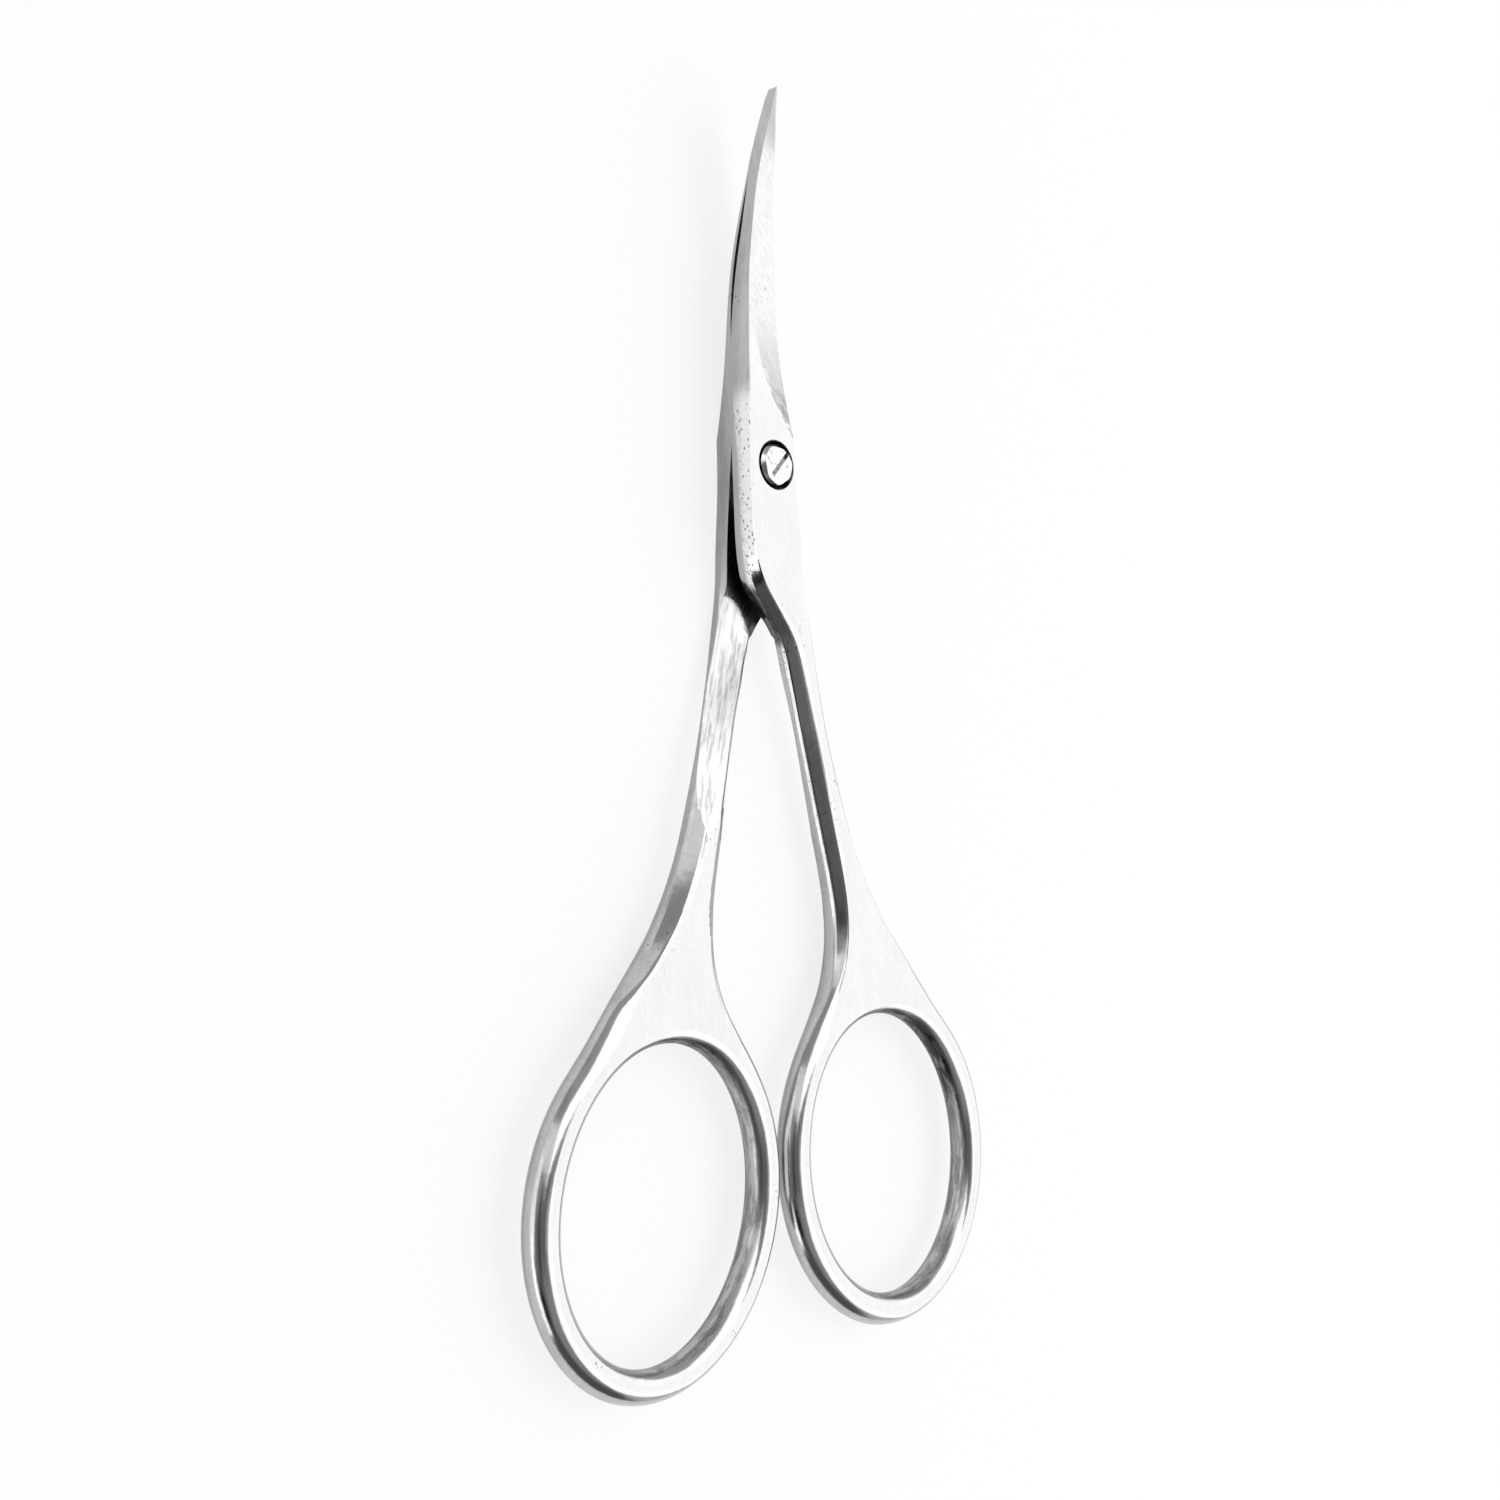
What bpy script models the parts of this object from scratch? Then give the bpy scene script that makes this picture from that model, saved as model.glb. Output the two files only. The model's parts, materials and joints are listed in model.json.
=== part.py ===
"""Curved cuticle scissors with a slotted pivot screw, built as three separate pieces.

Lengths are in metres. The front of the scissors, where the screw head shows, faces +Z,
the tips point along +Y, and the scissors lie closed on their back on the plane Z = 0,
with the middle of their length and width over the origin.
Each half is modelled in a half frame: the pivot axis is its Z axis, the mating plane is
Z = 0, its blade spine is on -X and its finger ring on +X. The front half uses that frame
as it is. The rear half is the same forging turned half a turn about Y.
"""
import math

import bmesh
import bpy
from mathutils import Matrix, Vector

MM = 0.001

# Pivot screw, and the hole and counterbore cut for it
screw_radius = 1.0 * MM
screw_clearance = 0.1 * MM
head_radius = 1.6 * MM
head_height = 0.8 * MM
head_clearance = 0.18 * MM
head_recess = 0.12 * MM
head_edge_round = 0.18 * MM
slot_width = 0.34 * MM
slot_depth = 0.42 * MM
slot_angle = math.radians(47)
tail_recess = 0.1 * MM
tail_dome = 0.1 * MM

# Box: the flat lapped joint round the pivot
box_half_thickness = 2.08 * MM
spine_wall = 0.97 * MM
edge_wall = 0.32 * MM
ride_gap = 0.2 * MM
relief_depth = 0.8 * MM
shoulder_drop = 8.8 * MM
crotch_drop = 11.3 * MM
shoulder_clearance = 0.25 * MM
scoop_hollow = 0.10 * MM
side_cant = 0.13 * MM

# Blades
blade_length = 27.5 * MM
blade_curve_start = 8.5 * MM
blade_curve_radius = 62.7 * MM

# Shanks
shank_thickness = 2.06 * MM
parting_ridge = 0.2 * MM

# Finger rings: oval rings of oval section, leaning towards the pivot
hole_half_width = 8.85 * MM
hole_half_height = 10.86 * MM
ring_side_band = 2.83 * MM
ring_end_band = 2.48 * MM
ring_thickness = 2.5 * MM
ring_gap = 0.3 * MM
ring_drop = 51.8 * MM
ring_lean = math.radians(11.7)

# How far every cutter reaches past the steel
overrun = 1.5 * MM

# Sizes that follow from the ones above
counterbore_radius = head_radius + head_clearance
counterbore_depth = head_height + head_recess
hole_radius = screw_radius + screw_clearance
spine_half_width = counterbore_radius + spine_wall
edge_half_width = counterbore_radius + edge_wall
ring_outer_half_width = hole_half_width + ring_side_band
ring_outer_half_height = hole_half_height + ring_end_band
ring_offset = ring_gap / 2 + math.hypot(
    ring_outer_half_width * math.cos(ring_lean), ring_outer_half_height * math.sin(ring_lean))
ring_centre = Vector((ring_offset, -ring_drop))
ring_reach = ring_drop + math.hypot(
    ring_outer_half_width * math.sin(ring_lean), ring_outer_half_height * math.cos(ring_lean))
pivot_place = Vector((0, (ring_reach - blade_length) / 2, box_half_thickness))

# Faceting: spokes of a ring, facets of the round pieces, steps along the curved cutters
# and strips across every cutter
ring_spokes = 24
round_facets = 48
curve_steps = 10
bevel_steps = 24
cutter_strips = 4

# Blade rows, from the tip to the pivot. Each row holds shares: its place along
# blade_length, the spine as a share of spine_half_width, the cutting edge as a share of
# edge_half_width, and the forged height as a share of box_half_thickness.
blade_row_shares = (
    (1.000, 0.218, 0.00, 0.60),
    (0.978, 0.280, 0.11, 0.62),
    (0.953, 0.313, 0.215, 0.64),
    (0.902, 0.396, 0.38, 0.66),
    (0.851, 0.469, 0.475, 0.66),
    (0.750, 0.50, 0.59, 0.66),
    (0.645, 0.545, 0.76, 0.68),
    (0.540, 0.68, 0.94, 0.76),
    (0.431, 0.79, 1.03, 0.84),
    (0.322, 0.88, 1.05, 0.92),
    (0.214, 0.94, 1.03, 0.98),
    (0.105, 0.99, 1.01, 1.00),
    (0.000, 1.00, 1.02, 1.00),
)
# The ground bevel: place along blade_length, its height over the mating face at the
# middle line as a share of box_half_thickness, and its fall towards the cutting edge.
bevel_row_shares = (
    (0.050, 1.43, 0.34),
    (0.105, 1.21, 0.34),
    (0.214, 0.88, 0.34),
    (0.322, 0.663, 0.34),
    (0.431, 0.52, 0.31),
    (0.645, 0.378, 0.274),
    (0.750, 0.324, 0.324),
    (0.851, 0.320, 0.445),
    (0.953, 0.27, 0.72),
    (1.050, 0.24, 1.05),
)
# Box rows below the pivot: place along shoulder_drop, then spine and outer side as
# shares of spine_half_width.
box_row_shares = (
    (0.25, 1.00, 0.815),
    (0.50, 0.995, 0.895),
    (0.75, 0.95, 0.965),
)
# The relief of the mating face: place along shoulder_drop and share of relief_depth
# reached at the outer side. It starts just above the pivot.
relief_row_shares = (
    (-0.55, 0.00),
    (-0.20, 0.50),
    (0.10, 0.90),
    (0.40, 1.00),
)
# Where the spine side turns in to become the inner side of the shank.
shoulder_corner_share = 0.80
# Rows through the shoulder: how far down the inner side from the corner to the crotch,
# and the place of the outer side along shoulder_drop and across spine_half_width.
shoulder_row_shares = (
    (0.00, 0.98, 1.035),
    (0.45, 1.16, 1.135),
    (1.00, 1.33, 1.235),
)
# How much of the face's fall to the shank is done at the crotch.
shoulder_fall_share = 0.12
# Shank rows: inner side and outer side, each as a place between the crotch (0) and the
# ring centre (1) and a share of ring_offset, then how far the front face has come down
# from the box to the shank, the thickness as a share of shank_thickness, and how sharp
# the long edges are.
shank_row_shares = (
    ((0.030, 0.078), (0.032, 0.303), 0.17, 1.00, 0.85),
    ((0.068, 0.145), (0.072, 0.343), 0.36, 1.00, 0.80),
    ((0.117, 0.212), (0.121, 0.402), 0.65, 1.00, 0.80),
    ((0.170, 0.280), (0.170, 0.459), 0.89, 1.00, 0.75),
    ((0.230, 0.342), (0.222, 0.510), 1.00, 1.00, 0.75),
    ((0.301, 0.400), (0.289, 0.577), 1.00, 1.00, 0.75),
    ((0.373, 0.459), (0.358, 0.651), 1.00, 1.00, 0.75),
    ((0.440, 0.516), (0.422, 0.722), 1.00, 1.03, 0.70),
    ((0.501, 0.561), (0.483, 0.820), 1.00, 1.07, 0.65),
    ((0.560, 0.578), (0.546, 0.946), 1.00, 1.12, 0.55),
    ((0.620, 0.560), (0.598, 1.091), 1.00, 1.17, 0.45),
    ((0.682, 0.482), (0.640, 1.230), 1.00, 1.20, 0.35),
)
# Rows of the scoop behind the shoulder, where the relieved mating face runs out along the
# shank: inner side and outer side, each as a place between the crotch (0) and the ring
# centre (1), a share of ring_offset and a height as a share of box_half_thickness.
scoop_row_shares = (
    ((0.030, 0.078, 0.048), (-0.027, 0.269, 0.433)),
    ((0.052, 0.115, -0.058), (0.017, 0.290, 0.442)),
    ((0.081, 0.165, -0.178), (0.067, 0.336, 0.433)),
    ((0.117, 0.212, -0.264), (0.114, 0.395, 0.433)),
    ((0.170, 0.280, -0.337), (0.165, 0.458, 0.346)),
    ((0.230, 0.342, -0.418), (0.220, 0.508, 0.163)),
    ((0.289, 0.399, -0.481), (0.272, 0.563, 0.048)),
    ((0.338, 0.445, -0.529), (0.323, 0.613, -0.120)),
    ((0.383, 0.487, -0.601), (0.368, 0.664, -0.361)),
    ((0.417, 0.521, -0.721), (0.412, 0.714, -0.625)),
)
# Places of the columns of a row, as shares of the way from its left to its right side.
column_shares = (0.0, 0.25, 0.5, 0.75, 1.0)
# The shank meets the ring along these spokes, whose outer points stand off the oval by
# these shares, from the outer side to the inner side.
web_shares = (1.12, 1.01, 1.0, 1.0, 1.02)
# Control points of the ring's oval section, as shares of its half width and half height.
section_side_share = 1.06
section_edge_shares = (0.80, 0.88)
section_crown_share = 1.04


def clear_scene():
    """Remove whatever objects the file holds."""
    for old in list(bpy.data.objects):
        bpy.data.objects.remove(old, do_unlink=True)


def steel(name, colour, roughness):
    """Give a polished steel as a Principled material."""
    material = bpy.data.materials.new(name)
    material.use_nodes = True
    shader = material.node_tree.nodes["Principled BSDF"]
    shader.inputs["Base Color"].default_value = (*colour, 1)
    shader.inputs["Metallic"].default_value = 1
    shader.inputs["Roughness"].default_value = roughness
    return material


def new_object(name, bm, material=None):
    """Turn a bmesh into a named object in the scene."""
    bmesh.ops.recalc_face_normals(bm, faces=bm.faces[:])
    mesh = bpy.data.meshes.new(name)
    bm.to_mesh(mesh)
    bm.free()
    thing = bpy.data.objects.new(name, mesh)
    bpy.context.collection.objects.link(thing)
    if material:
        mesh.materials.append(material)
    return thing


def blade_rise(y):
    """Height of the curved mating face over the mating plane at a place along the blade."""
    past = max(0, y - blade_curve_start)
    return blade_curve_radius - math.sqrt(blade_curve_radius ** 2 - past ** 2)


def smooth_row(rows, place):
    """Read a table of rows at a place between them, on a smooth curve through them."""
    last = len(rows) - 2
    k = 0
    while k < last and rows[k + 1][0] < place:
        k += 1
    span = rows[k + 1][0] - rows[k][0]
    t = (place - rows[k][0]) / span
    before, after = rows[max(k - 1, 0)], rows[min(k + 2, last + 1)]
    values = []
    for column in range(1, len(rows[0])):
        start, end = rows[k][column], rows[k + 1][column]
        leave = (end - before[column]) / (rows[k + 1][0] - before[0]) * span
        arrive = (after[column] - start) / (after[0] - rows[k][0]) * span
        rest = end - start
        values.append(start + t * (leave + t * (
            3 * rest - 2 * leave - arrive + t * (leave + arrive - 2 * rest))))
    return values


def ring_point(angle, across):
    """Give a point of the leaning ring: across is -1 at the hole, 0 at the middle of the
    band and 1 at the outside."""
    half_width = hole_half_width + ring_side_band * (1 + across) / 2
    half_height = hole_half_height + ring_end_band * (1 + across) / 2
    point = Vector((half_width * math.cos(angle), half_height * math.sin(angle)))
    return ring_centre + Matrix.Rotation(ring_lean, 2) @ point


class Station:
    """One row across the forging: two side points and the heights between them."""

    def __init__(self, left, right, front, back, middle, bulge, inset, crease):
        self.left = left
        self.right = right
        self.front = front
        self.back = back
        self.middle = middle
        self.bulge = bulge
        self.inset = inset
        self.crease = crease

    def rows(self):
        """Give the front points, the two side points and the back points of the row."""
        across = (self.right - self.left).normalized()
        left = self.left + across * self.inset
        right = self.right - across * self.inset
        plan = [left.lerp(right, share) for share in column_shares]
        front = [Vector((*point, self.front)) for point in plan]
        back = [Vector((*point, self.back)) for point in plan]
        sides = [
            Vector((*(self.left - across * self.bulge), self.middle)),
            Vector((*(self.right + across * self.bulge), self.middle)),
        ]
        return front, sides, back


def stations(rise_sign):
    """List the rows from the tip down to the finger ring."""
    rows = []
    half_shank = shank_thickness / 2
    half_box = box_half_thickness

    for along, spine, edge, height in blade_row_shares:
        y = along * blade_length
        rise = rise_sign * blade_rise(y)
        rows.append(Station(
            Vector((-spine * spine_half_width, y)), Vector((edge * edge_half_width, y)),
            rise + height * half_box, rise - half_shank, rise + height * half_box / 2,
            0, side_cant * spine, 1.0))

    for along, spine, outer in box_row_shares:
        y = -along * shoulder_drop
        rows.append(Station(
            Vector((-spine * spine_half_width, y)), Vector((outer * spine_half_width, y)),
            half_box, -half_shank, half_box / 2, 0, side_cant, 1.0))

    corner = Vector((-shoulder_corner_share * spine_half_width, -shoulder_drop))
    crotch = Vector((0, -crotch_drop))
    fall = half_box - half_shank
    for down, outer_along, outer in shoulder_row_shares:
        right = Vector((outer * spine_half_width, -outer_along * shoulder_drop))
        rows.append(Station(
            corner.lerp(crotch, down), right, half_box - fall * down * shoulder_fall_share,
            -half_shank,
            half_box * (1 - down) / 2, parting_ridge * down / 2, side_cant, 0.9))

    reach = ring_drop - crotch_drop
    for (inner_down, inner), (outer_down, outer), fallen, stout, sharp in shank_row_shares:
        left = Vector((inner * ring_offset, -crotch_drop - inner_down * reach))
        right = Vector((outer * ring_offset, -crotch_drop - outer_down * reach))
        low = stout * half_shank
        rows.append(Station(left, right, half_box + (low - half_box) * fallen, -low, 0,
                            parting_ridge, 0, sharp))
    return rows


def add_faces(bm, upper, lower):
    """Join two rows of the same length with quads."""
    for k in range(len(upper) - 1):
        bm.faces.new((upper[k], upper[k + 1], lower[k + 1], lower[k]))


def forged_blank(name, rise_sign, material):
    """Model the forging of one half: blade, box, shank and finger ring in one skin."""
    bm = bmesh.new()
    crease = bm.edges.layers.float.new("crease_edge")
    ladder = []
    for station in stations(rise_sign):
        front, sides, back = station.rows()
        ladder.append((
            [bm.verts.new(p) for p in front], [bm.verts.new(p) for p in sides],
            [bm.verts.new(p) for p in back], station.crease))

    # Every spoke of the ring holds the points of one section. The spokes under the shank
    # have no outer side: their outer points are the last row of the shank.
    shared = len(column_shares)
    first = ring_spokes // 4 - shared // 2
    half_ring = ring_thickness / 2
    edge_across, edge_up = section_edge_shares
    spokes = []
    for k in range(ring_spokes):
        angle = math.tau * k / ring_spokes
        column = k - first
        outer = ring_point(angle, edge_across)
        side = ring_point(angle, section_side_share)
        if 0 <= column < shared:
            outer = ring_centre + (outer - ring_centre) * web_shares[column]
            side = ring_centre + (side - ring_centre) * web_shares[column]
        crown = ring_point(angle, 0)
        hole = ring_point(angle, -edge_across)
        spoke = {}
        for face, height in (("front", half_ring), ("back", -half_ring)):
            spoke[face] = bm.verts.new((*outer, height * edge_up))
            spoke["crown_" + face] = bm.verts.new((*crown, height * section_crown_share))
            spoke["hole_" + face] = bm.verts.new((*hole, height * edge_up))
        spoke["wall"] = bm.verts.new((*ring_point(angle, -section_side_share), 0))
        if not 0 < column < shared - 1:
            spoke["side"] = bm.verts.new((*side, 0))
        else:
            spoke["front"].co.z = spoke["crown_front"].co.z = half_ring
            spoke["back"].co.z = spoke["crown_back"].co.z = -half_ring
        spokes.append(spoke)
    web = spokes[first:first + shared][::-1]
    ladder.append(([spoke["front"] for spoke in web], [web[0]["side"], web[-1]["side"]],
                   [spoke["back"] for spoke in web], 0))

    for (front, sides, back, _), (front2, sides2, back2, _) in zip(ladder, ladder[1:]):
        add_faces(bm, front, front2)
        add_faces(bm, back, back2)
        add_faces(bm, [front[0], sides[0], back[0]], [front2[0], sides2[0], back2[0]])
        add_faces(bm, [front[-1], sides[1], back[-1]], [front2[-1], sides2[1], back2[-1]])

    section = ("front", "crown_front", "hole_front", "wall", "hole_back", "crown_back", "back")
    for k, spoke in enumerate(spokes):
        after = spokes[(k + 1) % ring_spokes]
        add_faces(bm, [spoke[name] for name in section], [after[name] for name in section])
        if not first <= k < first + shared - 1:
            outside = ("front", "side", "back")
            add_faces(bm, [spoke[name] for name in outside], [after[name] for name in outside])

    # The blunt tip is closed by a middle row of points between its two side points.
    front, sides, back, _ = ladder[0]
    inner_tip = [bm.verts.new(sides[0].co.lerp(sides[1].co, share))
                 for share in column_shares[1:-1]]
    middle = [sides[0], *inner_tip, sides[1]]
    add_faces(bm, front, middle)
    add_faces(bm, middle, back)

    # The long edges of the faces stay crisp on the blade and the box, and soften down the
    # shank. The edges of the blunt tip are crisp too.
    for above, below in zip(ladder, ladder[1:]):
        for rail in (0, 2):
            for end in (0, -1):
                bm.edges.get((above[rail][end], below[rail][end]))[crease] = below[3]
    for rail in (front, back):
        for k in range(len(rail) - 1):
            bm.edges.get((rail[k], rail[k + 1]))[crease] = 1

    blank = new_object(name, bm, material)
    blank.data.shade_smooth()
    rounding = blank.modifiers.new("Rounding", "SUBSURF")
    rounding.levels = 1
    rounding.render_levels = 1
    return blank


def cutter_row(left, right, hollow=0):
    """Give the points across a cutter between two sides. A hollow lifts the middle ones."""
    points = []
    for strip in range(cutter_strips + 1):
        share = strip / cutter_strips
        point = left.lerp(right, share)
        point.z += hollow * 4 * share * (1 - share)
        points.append(point)
    return points


def lofted_cutter(name, rows, floor):
    """Make a closed cutter whose working face runs through rows of points, closed at a
    floor height."""
    bm = bmesh.new()
    top = [[bm.verts.new(point) for point in row] for row in rows]
    base = [[bm.verts.new((*vert.co.xy, floor)) for vert in row] for row in top]
    for k in range(len(top) - 1):
        add_faces(bm, top[k], top[k + 1])
        add_faces(bm, base[k], base[k + 1])
        for end in (0, -1):
            bm.faces.new((top[k][end], top[k + 1][end], base[k + 1][end], base[k][end]))
    for k in (0, -1):
        add_faces(bm, top[k], base[k])
    return new_object(name, bm)


def round_tool(name, radius, low, high):
    """Make a round cutter on the pivot axis between two heights."""
    bm = bmesh.new()
    bmesh.ops.create_cone(
        bm, cap_ends=True, segments=round_facets, radius1=radius, radius2=radius,
        depth=high - low, matrix=Matrix.Translation((0, 0, (low + high) / 2)))
    return new_object(name, bm)


def cut(target, tool, label):
    """Cut a tool out of an object with a live Boolean, and keep the tool out of the model."""
    tool.hide_render = True
    tool.display_type = "WIRE"
    tool.parent = target
    boolean = target.modifiers.new(label, "BOOLEAN")
    boolean.operation = "DIFFERENCE"
    boolean.solver = "EXACT"
    boolean.object = tool


def mating_tool(name, rise_sign):
    """Cutter under the mating face: flat at the pivot, curved with the blade, relieved
    towards the outer side below the pivot, and running out along the shank."""
    level = ride_gap / 2
    side = spine_half_width + overrun
    rows = []
    start = blade_length + overrun
    for k in range(curve_steps + 1):
        y = start + (blade_curve_start - start) * k / curve_steps
        rise = rise_sign * blade_rise(y)
        rows.append(cutter_row(Vector((-side, y, rise + level)), Vector((side, y, rise + level))))
    relieved = level + relief_depth
    for along, depth in relief_row_shares:
        y = -along * shoulder_drop
        rows.append(cutter_row(Vector((-side, y, level)),
                               Vector((side, y, level + depth * relief_depth))))

    # Below the relief the cutter follows the other half's inner side.
    corner = Vector((shoulder_corner_share * spine_half_width, -shoulder_drop))
    crotch = Vector((0, -crotch_drop))
    along = (crotch - corner).normalized()
    away = Vector((-along.y, along.x))
    away *= math.copysign(shoulder_clearance, -away.y)
    outer_end = corner - along * 2 * overrun + away
    inner_end = crotch + along * 2 * overrun + away
    rows.append(cutter_row(Vector((*inner_end, level)), Vector((*outer_end, relieved))))

    reach = ring_drop - crotch_drop
    for ends in scoop_row_shares:
        inner, outer = (
            Vector((across * ring_offset, -crotch_drop - down * reach,
                    height * box_half_thickness))
            for down, across, height in ends)
        beyond = (outer - inner).normalized() * overrun
        rows.append(cutter_row(inner - beyond, outer + beyond, scoop_hollow))
    return lofted_cutter(name, rows, -blade_rise(start) - shank_thickness - overrun)


def bevel_tool(name, rise_sign):
    """Cutter over the ground bevel, which falls from the spine to the cutting edge."""
    side = spine_half_width + overrun
    first, last = bevel_row_shares[0][0], bevel_row_shares[-1][0]
    rows = []
    for k in range(bevel_steps + 1):
        along = first + (last - first) * k / bevel_steps
        height, fall = smooth_row(bevel_row_shares, along)
        y = along * blade_length
        middle = rise_sign * blade_rise(y) + height * box_half_thickness
        rows.append(cutter_row(Vector((-side, y, middle + fall * side)),
                               Vector((side, y, middle - fall * side))))
    return lofted_cutter(name, rows, blade_rise(blade_length) + 2 * (box_half_thickness + side))


def half(name, rise_sign, material):
    """Model one half of the scissors in its own frame."""
    blank = forged_blank(name, rise_sign, material)
    cut(blank, mating_tool(name + "_mating_tool", rise_sign), "Mating face")
    cut(blank, bevel_tool(name + "_bevel_tool", rise_sign), "Ground bevel")
    deep = shank_thickness + overrun
    cut(blank, round_tool(name + "_hole_tool", hole_radius, -deep, deep), "Pivot hole")
    return blank


def pivot_screw(material):
    """Turn the slotted screw: head, plain shank and peened tail on one axis."""
    top = box_half_thickness - head_recess
    seat = top - head_height
    tail = tail_recess - box_half_thickness
    shoulder = head_edge_round / 3
    bm = bmesh.new()
    profile = [
        (0, tail), (screw_radius / 2, tail + tail_dome / 4), (screw_radius, tail + tail_dome),
        (screw_radius, seat), (head_radius, seat),
        (head_radius, top - head_edge_round), (head_radius - shoulder, top - shoulder),
        (head_radius - head_edge_round, top), (0, top),
    ]
    points = [bm.verts.new((r, 0, z)) for r, z in profile]
    edges = [bm.edges.new(pair) for pair in zip(points, points[1:])]
    bmesh.ops.spin(bm, geom=points + edges, cent=(0, 0, 0), axis=(0, 0, 1), angle=math.tau,
                   steps=round_facets, use_merge=True)
    bmesh.ops.remove_doubles(bm, verts=bm.verts[:], dist=screw_clearance / 100)
    screw = new_object("pivot_screw", bm, material)
    screw.data.shade_smooth()
    screw.data.set_sharp_from_angle(angle=math.radians(35))

    bm = bmesh.new()
    bmesh.ops.create_cube(bm, size=1)
    slot_size = (2 * (head_radius + overrun), slot_width, 2 * slot_depth)
    bmesh.ops.scale(bm, vec=slot_size, verts=bm.verts[:])
    bmesh.ops.rotate(bm, matrix=Matrix.Rotation(slot_angle, 3, "Z"), verts=bm.verts[:])
    bmesh.ops.translate(bm, vec=(0, 0, top), verts=bm.verts[:])
    cut(screw, new_object("slot_tool", bm), "Slot")
    return screw


def main():
    """Model the halves and the screw and lay them on their back."""
    clear_scene()
    bright = steel("polished_steel", (0.78, 0.79, 0.80), 0.12)
    turned = steel("turned_steel", (0.70, 0.71, 0.72), 0.22)

    rear_part = bpy.data.objects.new("rear_frame", None)
    front_part = bpy.data.objects.new("pivot_axis", None)
    for empty in (rear_part, front_part):
        bpy.context.collection.objects.link(empty)
        empty.location = pivot_place

    front = half("front_half", 1, bright)
    seat = box_half_thickness - counterbore_depth
    mouth = box_half_thickness + overrun
    cut(front, round_tool("counterbore_tool", counterbore_radius, seat, mouth), "Counterbore")
    front.parent = front_part

    rear = half("rear_half", -1, bright)
    rear.rotation_euler = (0, math.pi, 0)
    rear.parent = rear_part

    pivot_screw(turned).parent = rear_part


main()
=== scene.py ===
"""Looks of the curved cuticle scissors: two polished forgings, a slotted screw and a studio.

Lengths are in metres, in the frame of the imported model: the scissors lie closed on their
back on Z = 0, the screw head faces +Z and the tips point along +Y. Each half is shaped in a
half frame, with the pivot axis on Z, the mating plane at Z = 0, the blade's spine on -X and
the finger ring on +X. The front half keeps that frame, and the rear half is turned half a
turn about Y, as the same forging is on the real scissors.
"""
import json
import math

import bmesh
import bpy
from bpy.props import FloatProperty, FloatVectorProperty, IntProperty, PointerProperty
from mathutils import Matrix, Vector


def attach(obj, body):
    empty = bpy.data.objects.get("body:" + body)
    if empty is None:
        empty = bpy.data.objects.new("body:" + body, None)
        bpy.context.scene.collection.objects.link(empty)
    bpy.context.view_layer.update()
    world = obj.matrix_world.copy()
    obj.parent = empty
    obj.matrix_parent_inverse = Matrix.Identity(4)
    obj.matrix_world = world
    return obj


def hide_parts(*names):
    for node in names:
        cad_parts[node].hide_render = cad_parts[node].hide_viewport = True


bl_info = {
    "name": "Cuticle Scissors",
    "version": (1, 0, 0),
    "blender": (4, 5, 0),
    "location": "3D View > Sidebar > Scissors",
    "description": "Forges, grinds and polishes a pair of curved cuticle scissors",
    "category": "Add Mesh",
}

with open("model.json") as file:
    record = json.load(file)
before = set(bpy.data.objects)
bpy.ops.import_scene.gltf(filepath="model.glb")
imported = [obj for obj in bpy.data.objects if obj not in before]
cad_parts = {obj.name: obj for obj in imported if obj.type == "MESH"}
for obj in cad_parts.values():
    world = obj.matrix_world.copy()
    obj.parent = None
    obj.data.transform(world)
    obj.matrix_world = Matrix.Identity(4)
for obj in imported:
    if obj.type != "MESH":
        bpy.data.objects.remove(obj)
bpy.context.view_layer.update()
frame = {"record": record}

MM = 0.001
PIVOT = Vector(frame["record"]["behaviour"]["joints"][0]["pos_m"])

# Blade rows from the pivot to the tip, as shares: place along the blade, spine and cutting
# edge across their half widths, and forged height over the box's half thickness.
BLADE_SHARES = (
    (0.000, 1.00, 1.02, 1.00),
    (0.105, 0.99, 1.01, 1.00),
    (0.214, 0.94, 1.03, 0.98),
    (0.322, 0.88, 1.05, 0.92),
    (0.431, 0.79, 1.03, 0.84),
    (0.540, 0.68, 0.94, 0.76),
    (0.645, 0.545, 0.76, 0.68),
    (0.750, 0.50, 0.59, 0.66),
    (0.851, 0.469, 0.475, 0.66),
    (0.902, 0.396, 0.38, 0.66),
    (0.953, 0.313, 0.215, 0.64),
    (0.978, 0.280, 0.11, 0.62),
    (1.000, 0.218, 0.00, 0.60),
)
# Ground bevel: place along the blade, height over the mating face, fall to the edge.
BEVEL_SHARES = (
    (0.050, 1.43, 0.34),
    (0.105, 1.21, 0.34),
    (0.214, 0.88, 0.34),
    (0.322, 0.663, 0.34),
    (0.431, 0.52, 0.31),
    (0.645, 0.378, 0.274),
    (0.750, 0.324, 0.324),
    (0.851, 0.320, 0.445),
    (0.953, 0.245, 0.72),
    (1.050, 0.155, 1.05),
)
# Box rows below the pivot: place down to the shoulder, spine side and outer side.
BOX_SHARES = (
    (0.25, 1.00, 0.815),
    (0.50, 0.995, 0.895),
    (0.75, 0.95, 0.965),
)
# Relief of the mating face: place down to the shoulder, share of its depth.
RELIEF_SHARES = (
    (-0.55, 0.00),
    (-0.20, 0.50),
    (0.10, 0.90),
    (0.40, 1.00),
)
# Shoulder rows: way from the corner to the crotch, place and reach of the outer side, and
# how much of the side facets is there.
SHOULDER_SHARES = (
    (0.00, 0.98, 1.035, 0.80),
    (0.45, 1.16, 1.135, 1.0),
    (1.00, 1.33, 1.235, 1.0),
)
SHOULDER_CORNER_SHARE = 0.80
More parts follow.
